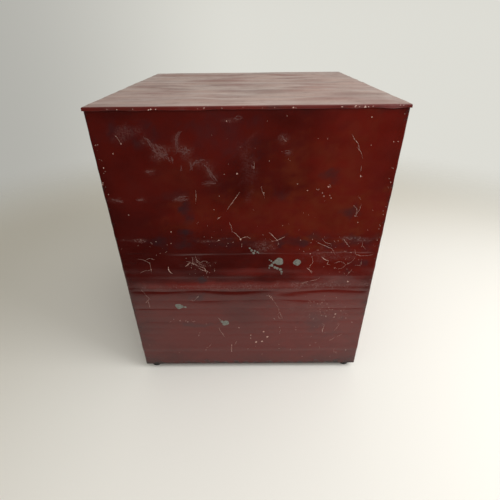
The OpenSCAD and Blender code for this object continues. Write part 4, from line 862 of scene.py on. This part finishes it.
def topPanel(s):
    e = s["edge"]
    xs = np.linspace(topLow[0] + e, topHigh[0] - e, round((topHigh[0] - topLow[0]) / s["step"]) + 1)
    ys = np.linspace(topLow[1] + e, topHigh[1] - e, round((topHigh[1] - topLow[1]) / s["step"]) + 1)
    x, y = np.meshgrid(xs, ys)
    border = np.minimum.reduce([x - topLow[0], topHigh[0] - x, y - topLow[1], topHigh[1] - y])
    rise = topRelief(x, y, s, border)
    upper = np.stack([x, y, topHigh[2] + rise * smooth(border, 0, s["heldDown"]) + 0.25 * rise], -1)
    rows, columns = x.shape
    upper, rise, n = upper.reshape(-1, 3), rise.ravel(), rows * columns
    loop = borderOf(np.arange(n).reshape(rows, columns))
    edge = upper[loop, :2]
    away = (edge >= (xs[-1] - 0.01, ys[-1] - 0.01)) * 1.0 - (edge <= (xs[0] + 0.01, ys[0] + 0.01))
    atSide = np.abs(away[:, 0]) > 0
    along = np.where(atSide, edge[:, 1], edge[:, 0])
    # the turned edge: a round shoulder, then a lip that kicks out a little and was knocked in places
    turn = np.radians(np.linspace(0, 90, s["edgeSteps"] + 1))[1:]
    lipBottom, inside = topLow[2], e - s["sheet"]
    rings = [(e * math.sin(a), topHigh[2] - e * (1 - math.cos(a))) for a in turn]
    rings += [(e, lipBottom + 1.2), (e + 0.15, lipBottom + 0.3), (e - 0.2, lipBottom),
              (inside + 0.1, lipBottom), (inside, lipBottom + 0.4), (inside, topHigh[2] - s["sheet"] - 0.5)]
    flutter = 0.28 * waves(along, along * 0, 77, 46, 46) + 0.2 * waves(along, along * 0, 79, 15, 15)
    flutter = flutter * np.where(atSide, 0.2, 1.0)
    sag = 0.3 * waves(along, along * 0, 81, 70, 70)
    gap = np.exp(-((along - s["gapAt"]) / s["gapWidth"]) ** 2) * (away[:, 1] > 0) * s["gapDepth"]
    points, loops = [upper], [loop]
    for out, z in rings:
        low = np.clip((topHigh[2] - z) / (topHigh[2] - lipBottom), 0, 1)
        push = out + np.clip(low * (flutter * 0.5 + gap), -0.1, 2)
        lift = 0.25 * rise[loop] * (1 - low) + low * sag
        points.append(np.column_stack([edge + away * push[:, None], z + lift]))
        loops.append(np.arange(len(loop)) + n + (len(loops) - 1) * len(loop))
    points = np.concatenate(points + [upper - (0, 0, s["sheet"])])
    last = len(points) - n
    loops.append(loop + last)
    faces = [gridFaces(rows, columns)] + [stitch(a, b, closed=True)[:, ::-1] for a, b in zip(loops, loops[1:])]
    faces.append(gridFaces(rows, columns, last, True))
    # the chalk and its painted reflection lie on the flat only, so the turned edge stays red; the other marks
    # are waves, cut off below and above
    px, py = points[:, 0], points[:, 1]
    masks = {"flat": (np.arange(len(px)) < n) * 1.0, "flushAndLight": 0.6 + 0 * px}
    for key, gain, seed, lengthX, lengthY, less, most in (
            ("rust", 0.3, 91, 90, 40, 0.15, 0.5), ("bruise", 0.2, 93, 70, 24, 0.16, 0.3),
            ("scuffAndSheen", 0.4, 95, 60, 20, 0.45, 0.6), ("grimeAndShade", 0.5, 97, 26, 12, 0.62, 0.8)):
        masks[key] = np.clip(gain * waves(px, py, seed, lengthX, lengthY) - less, 0, most)
    piece = meshPiece("top_skin", points, np.concatenate(faces), chalkAndSheenEnamel,
                      "cabinet", masks)
    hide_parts("top_panel")


topPanel(topSkin)
print("top made")


def sweep(path, radius, axis, around=12):
    # a round bar: circles of the given radius across a path that never runs along the axis
    path = np.asarray(path, float)
    heading = np.gradient(path, axis=0)
    heading /= np.linalg.norm(heading, axis=1, keepdims=True)
    across = np.cross(heading, axis)
    across /= np.linalg.norm(across, axis=1, keepdims=True)
    third = np.cross(across, heading)
    turn = np.linspace(0, 2 * np.pi, around + 1)[:-1, None]
    radius = np.broadcast_to(radius, len(path))[:, None, None]
    circle = np.cos(turn) * across[:, None] + np.sin(turn) * third[:, None]
    return closedRings(path[:, None] + radius * circle)


def lathe(profile, centre, axis, around=40):
    # (radius, height) pairs turned round an axis, "y" or "z", through the centre
    radius, height = np.array(profile, float).T[:, :, None]
    turn = np.linspace(0, 2 * np.pi, around + 1)[:-1]
    a, b, up = radius * np.cos(turn), radius * np.sin(turn), height + 0 * turn
    rings = np.stack([a, up, b] if axis == "y" else [a, b, up], -1)
    return closedRings(rings + np.array(centre, float))


def roundRect(halfW, halfH, r, step, aside=0.0):
    # a rounded rectangle as x, z and outward normals, moved outwards by aside
    w, h = halfW - r, halfH - r
    points = []
    for k, (cx, cz, half) in enumerate(((w, h, w), (-w, h, h), (-w, -h, w), (w, -h, h))):
        turn = np.radians(90 * k + np.linspace(0, 90, 7))
        points += [(cx + r * math.cos(a), cz + r * math.sin(a), math.cos(a), math.sin(a)) for a in turn]
        sx, sz, nx, nz = points[-1]
        count = max(2, round(2 * half / step))
        points += [(sx - nz * 2 * i * half / count, sz + nx * 2 * i * half / count, nx, nz)
                   for i in range(1, count)]
    x, z, nx, nz = np.array(points).T
    return x + nx * aside, z + nz * aside, nx, nz


def refined(node, width=0.35, segments=2, angle=35):
    # the CAD shape again with its loose triangles joined, its edges rounded and its curves smooth
    source = frame["nodes"][node]
    mesh = source.data.copy()
    mesh.name = node + "_fine"
    work = bmesh.new()
    work.from_mesh(mesh)
    bmesh.ops.remove_doubles(work, verts=work.verts, dist=1e-6)
    bmesh.ops.dissolve_limit(work, angle_limit=math.radians(1), verts=work.verts, edges=work.edges)
    work.to_mesh(mesh)
    work.free()
    mesh.polygons.foreach_set("use_smooth", np.ones(len(mesh.polygons), bool))
    mesh.set_sharp_from_angle(angle=math.radians(angle))
    piece = bpy.data.objects.new(node + "_fine", mesh)
    scene.collection.objects.link(piece)
    if width:
        bevel = piece.modifiers.new("edges", "BEVEL")
        bevel.width, bevel.segments = width * mm, segments
        bevel.limit_method, bevel.angle_limit = "ANGLE", math.radians(angle)
        bevel.use_clamp_overlap = True
    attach(piece, body_of(source)[0])
    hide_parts(node)
    return piece


# Door: one pressed sheet round the window, with a rolled edge and a turned-back flange
doorLow, doorHigh = corners("door_panel")
gasketLow, gasketHigh = corners("window_gasket")
paneLow, _ = corners("window_pane")
doorShape = {
    "sheet": 1.2, "bend": 2.0, "corner": 2.6, "windowCorner": 12.0, "gasketRim": 12.0,
    "step": 5.0, "faceRings": 14, "buckle": 0.22,
    "clearOfSprings": 180.0,  # the flange stops here, beside the springs
}
window = {
    "halfWidth": (gasketHigh[0] - gasketLow[0]) / 2 - doorShape["gasketRim"],
    "halfHeight": (gasketHigh[2] - gasketLow[2]) / 2 - doorShape["gasketRim"],
    "midZ": (gasketHigh[2] + gasketLow[2]) / 2,
}


def doorPanel(d):
    halfW, halfH = (doorHigh[0] - doorLow[0]) / 2, (doorHigh[2] - doorLow[2]) / 2
    midZ = (doorHigh[2] + doorLow[2]) / 2
    winW, winH, winZ = window["halfWidth"], window["halfHeight"], window["midZ"]
    front, back, t, bend = doorLow[1], doorHigh[1], d["sheet"], d["bend"]
    ix, iz, nx, nz = roundRect(winW, winH, d["windowCorner"], d["step"])
    # the outer loop has the same count: corners on corners, runs on runs
    outW, outH, r = halfW - bend, halfH - bend, d["corner"]
    ox = np.sign(ix) * np.minimum(np.abs(ix) / (winW - d["windowCorner"]), 1) * (outW - r) + nx * r
    oz = np.sign(iz) * np.minimum(np.abs(iz) / (winH - d["windowCorner"]), 1) * (outH - r) + nz * r
    low = (nz < -0.99) & (np.abs(ox) > d["clearOfSprings"]) | (nz < -0.01) & (nz > -0.99)
    edgeY = np.where(low, front + bend + 0.6, back)
    rings = []

    def ring(x, y, z):
        rings.append(np.stack([x, y + 0 * x, z + 0 * x], -1))

    def outer(out, y):
        ring(ox + nx * out, y, oz + midZ + nz * out)
    wz = iz + winZ
    ring(ix, front + t, wz)
    ring(ix, front + 0.3, wz)
    ring(ix + 0.3 * nx, front, wz + 0.3 * nz)
    for share in np.linspace(0, 1, d["faceRings"])[1:]:
        x, z = ix + (ox - ix) * share, wz + (oz + midZ - wz) * share
        swell = d["buckle"] * waves(x, z, 121, 170, 90) * math.sin(math.pi * share) ** 0.7
        ring(x, front - np.clip(swell, -0.1, 0.5), z)
    for a in np.radians((22.5, 45, 67.5, 90)):
        outer(bend * math.sin(a), front + bend * (1 - math.cos(a)))
    # back along the flange, over its edge, and home along its inside
    for out, y in ((bend, edgeY - 0.3), (bend - 0.3, edgeY), (bend - t + 0.3, edgeY), (bend - t, edgeY - 0.3),
                   (bend - t, front + bend), (bend - t - 0.3, front + t + 0.2)):
        outer(out, y)
    for share in np.linspace(1, 0, 6)[:-1]:
        ring(ix + (ox - ix) * share, front + t, wz + (oz + midZ - wz) * share)
    points, faces = band(np.array(rings))
    x, z = points[:, 0], points[:, 2]
    rim = np.minimum.reduce([halfW - np.abs(x), halfH - np.abs(z - midZ)])
    masks = {"scuffAndSheen": 0.5 * np.clip(waves(x, z, 131, 60, 40) - 0.6, 0, 1),
             "bruise": 0.5 * np.clip(waves(x, z, 133, 80, 50) - 0.4, 0, 1),
             "rust": 0.5 * np.clip(waves(x, z, 135, 120, 90), 0, 1),
             "grimeAndShade": np.clip(waves(x + z, z, 137, 22, 22), 0, 1) * (1 - smooth(rim, 0.8, 5))}
    piece = meshPiece("door_skin", points, faces, enamel, "door", masks)
    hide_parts("door_panel")


doorPanel(doorShape)


def windowGasket(d):
    # extruded rubber: an H section, rounded in front, carried round the window opening
    front, rim, w = doorLow[1], d["gasketRim"], window
    inner = front + d["sheet"]
    lip = [(-2, 0.5), (-1.7, 0.95), (-1, 1.2), (3.6, 1.2), (4.6, 0.9), (5, 0.4), (5, 0.02), (0, 0.02)]
    section = [(aside, front - proud) for aside, proud in lip]
    section += [(0, inner), (rim, inner), (rim, paneLow[1]), (-2, paneLow[1])]
    rings = []
    for aside, y in section:
        x, z, nx, nz = roundRect(w["halfWidth"], w["halfHeight"], d["windowCorner"], d["step"], aside)
        rings.append(np.stack([x, y + 0 * x, z + w["midZ"]], -1))
    points, faces = band(np.array(rings))
    piece = meshPiece("gasket_rubber", points, faces, slotMaterials["black_rubber"],
                      "door", angle=30)
    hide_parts("window_gasket")


windowGasket(doorShape)


handleShape = {"bar": 6.0, "elbow": 9.0}


def doorHandle(h):
    # a bent bar between two turned bosses: posts rise from the door, and round elbows join the bar to them
    low, high = corners("door_handle")
    radius, elbow, front = h["bar"], h["elbow"], doorLow[1]
    boss = (high[2] - low[2]) / 2
    z, y, half = (low[2] + high[2]) / 2, low[1] + radius, high[0] - boss
    turn = np.radians(np.linspace(0, 90, 9))
    post = [(half, front - 1.0, z), (half, y + elbow + 2, z)]
    post += [(half - elbow * (1 - math.cos(a)), y + elbow * (1 - math.sin(a)), z) for a in turn]
    bar = [(half * k, y, z) for k in (0.5, 0, -0.5)]
    path = np.array(post + bar + [(-px, py, pz) for px, py, pz in post[::-1]])
    profile = [(0.5, -0.02), (boss, -0.02), (boss, -1.2), (boss - 0.4, -1.9), (boss - 1.4, -2.5),
               (boss - 2.6, -2.9), (radius + 1.0, -3.2), (radius + 0.2, -3.9), (radius - 0.5, -4.2),
               (0.5, -4.2)]
    parts = [sweep(path, radius, (0, 0, 1), 28)]
    parts += [lathe(profile, (side * half, front, z), "y") for side in (-1, 1)]
    piece = gather("handle_chrome", parts, slotMaterials["chrome_trim"], "door", 35)
    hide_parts("door_handle")


footShape = {
    "radius": 10.0, "recess": 5.0, "recessDepth": 4.6, "bore": 2.2, "grips": 3, "gripPitch": 2.4, "around": 36,
}


def rubberFeet(f):
    # turned from a profile: a soft lower edge, grip rings and the screw's recess
    low, high = corners("rubber_feet")
    r, h, deep = f["radius"], high[2], f["recessDepth"]
    profile = [(f["recess"], deep), (f["recess"], 0.6), (5.6, 0.05), (r - 2.4, 0.0), (r - 1.3, 0.5),
               (r - 0.95, 1.6)]
    for k in range(f["grips"]):
        z = 3.4 + f["gripPitch"] * k
        wall = r - 1 + z / h
        profile += [(wall - 0.05, z - 0.7), (wall - 0.5, z - 0.2), (wall - 0.5, z + 0.2), (wall, z + 0.7)]
    profile += [(r - 0.1, h - 0.6), (r - 0.5, h), (f["bore"], h), (f["bore"], deep)]
    parts = []
    for x in (low[0] + r, high[0] - r):
        for y in (low[1] + r, high[1] - r):
            rings, _ = lathe(profile, (x, y, 0), "z", f["around"])
            parts.append(band(rings.reshape(len(profile), f["around"], 3)))
    piece = gather("feet_rubber", parts, slotMaterials["black_rubber"], "cabinet", 40)
    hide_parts("rubber_feet")


buttonShape = {"collarRim": 2.0, "collarFront": -207.7, "collarBack": -205.7, "stem": 2.5}


def returnButton(b):
    # a dished push button on its stem, with a collar behind the panel
    low, high = corners("return_button")
    collar = (high[0] - low[0]) / 2
    x, y, z = (low[0] + high[0]) / 2, low[1], (low[2] + high[2]) / 2
    r, stem = collar - b["collarRim"], b["stem"]
    profile = [(0.4, y + 0.9), (r * 0.45, y + 0.8), (r * 0.75, y + 0.35), (r * 0.88, y + 0.05), (r - 0.6, y),
               (r - 0.15, y + 0.35), (r, y + 1.0), (r, b["collarFront"]), (collar, b["collarFront"]),
               (collar, b["collarBack"]), (stem, b["collarBack"]), (stem, high[1] - 0.5), (2.0, high[1]),
               (0.4, high[1])]
    piece = gather("button_chrome", [lathe(profile, (x, 0, z), "y")], slotMaterials["chrome_trim"],
                   "coin_return_button", 35)
    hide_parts("return_button")


springWire = {
    # door springs: turns round each end of the hinge pin, one leg on the sill, the other inside the door
    "x": 183.0, "y": -213.0, "z": 56.0, "radius": 3.0, "wire": 0.8, "turns": 4.5, "pitch": 1.8,
    "sillLeg": (22, 14, 6, 2), "doorLegEnd": (-221.7, 82),  # below the pin; y and z
    # button spring: turns round the stem
    "buttonTurns": 6, "buttonRadius": 5, "buttonWire": 0.5,
}


def wireSprings(c):
    full = 2 * np.pi
    turn = np.linspace(0, full * c["turns"], int(36 * c["turns"]))
    wound = np.stack([c["x"] + c["pitch"] * turn / full, c["y"] + c["radius"] * np.cos(turn),
                      c["z"] + c["radius"] * np.sin(turn)], 1)
    legLow = np.array([[c["x"], c["y"] + c["radius"], c["z"] - d] for d in c["sillLeg"]])
    end, (endY, endZ) = wound[-1], c["doorLegEnd"]
    legUp = [end + (k * 0.1, k * (endY - end[1]), k * (endZ - end[2])) for k in (0.15, 0.4, 0.7, 1.0)]
    path = np.concatenate([legLow, wound, legUp])
    parts = [sweep(path * (side, 1, 1), c["wire"], (1, 0, 0), 10) for side in (1, -1)]
    piece = gather("door_springs_wound", parts, slotMaterials["spring_steel"], None)
    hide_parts("door_springs")
    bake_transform(piece, "cabinet", "door", start=(0, c["y"] * mm, 0.052), end=(0, c["y"] * mm, 0.062))

    low, high = corners("button_spring")
    x, z = (low[0] + high[0]) / 2, (low[2] + high[2]) / 2
    y0, y1 = low[1] + c["buttonWire"], high[1] - c["buttonWire"]
    turn = np.linspace(0, full * c["buttonTurns"], 200)
    along = turn / turn[-1]
    rise = 0.03 * along + 0.97 * np.clip((along - 0.08) / 0.84, 0, 1)  # the end turns lie flat
    coil = c["buttonRadius"] * np.array([np.cos(turn), np.sin(turn)])
    path = np.stack([x + coil[0], y0 + (y1 - y0) * rise, z + coil[1]], 1)
    piece = gather("button_spring_wound", [sweep(path, c["buttonWire"], (0, 1, 0), 10)],
                   slotMaterials["spring_steel"], "cabinet")
    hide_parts("button_spring")
    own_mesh(piece)


doorHandle(handleShape)
rubberFeet(footShape)
returnButton(buttonShape)
wireSprings(springWire)
print("door and its fittings made")


# The rest of the fittings keep the CAD shapes; here is how far each one's edges are rounded, in millimetres
softEdges = {
    "header_panel": 0.5, "sill_panel": 0.5, "drawer_front": 0.6, "coin_slot_plate": 0.5,
    "price_card_frame": 0.5, "button_bezel": 0.5, "lock_barrel": 0.3, "lock_plug": 0.25,
    "return_cup": 0.3, "return_flap": 0.25, "window_pane": 0.3, "base_pan": 0.3, "display_pocket": 0.2,
    "window_retainer": 0.2, "paper_shelf": 0.3, "paper_guides": 0.3, "mech_tray": 0.3,
    "door_bumpers": 0.5, "hinge_cabinet_leaf": 0.2, "hinge_door_leaf": 0.2, "hinge_pin": 0.2,
    "foot_screws": 0.2, "foot_nuts": 0.2, "slot_screws": 0.15, "slot_nuts": 0.15, "handle_screws": 0.3,
    "cabinet_rivets": 0, "door_rivets": 0, "latch_rivets": 0, "door_striker": 0.3, "stay_arcs": 0.2,
    "coin_chute": 0.2, "return_trough": 0.2, "button_bracket": 0.3, "return_lever": 0.3,
    "drawer_rails": 0.2, "drawer_box": 0.3, "lock_nut": 0.3, "lock_cam": 0.3, "cam_screw": 0.2,
    "lock_keeper": 0.3, "latch_bracket": 0.3, "latch_pin": 0.2, "latch_arm": 0.3, "latch_weight": 0.3,
    "coin_paddle": 0.2, "price_card": 0.1, "flap_pin": 0.1, "lever_pin": 0.1,
}
for node, width in softEdges.items():
    refined(node, width)
print("fittings refined")
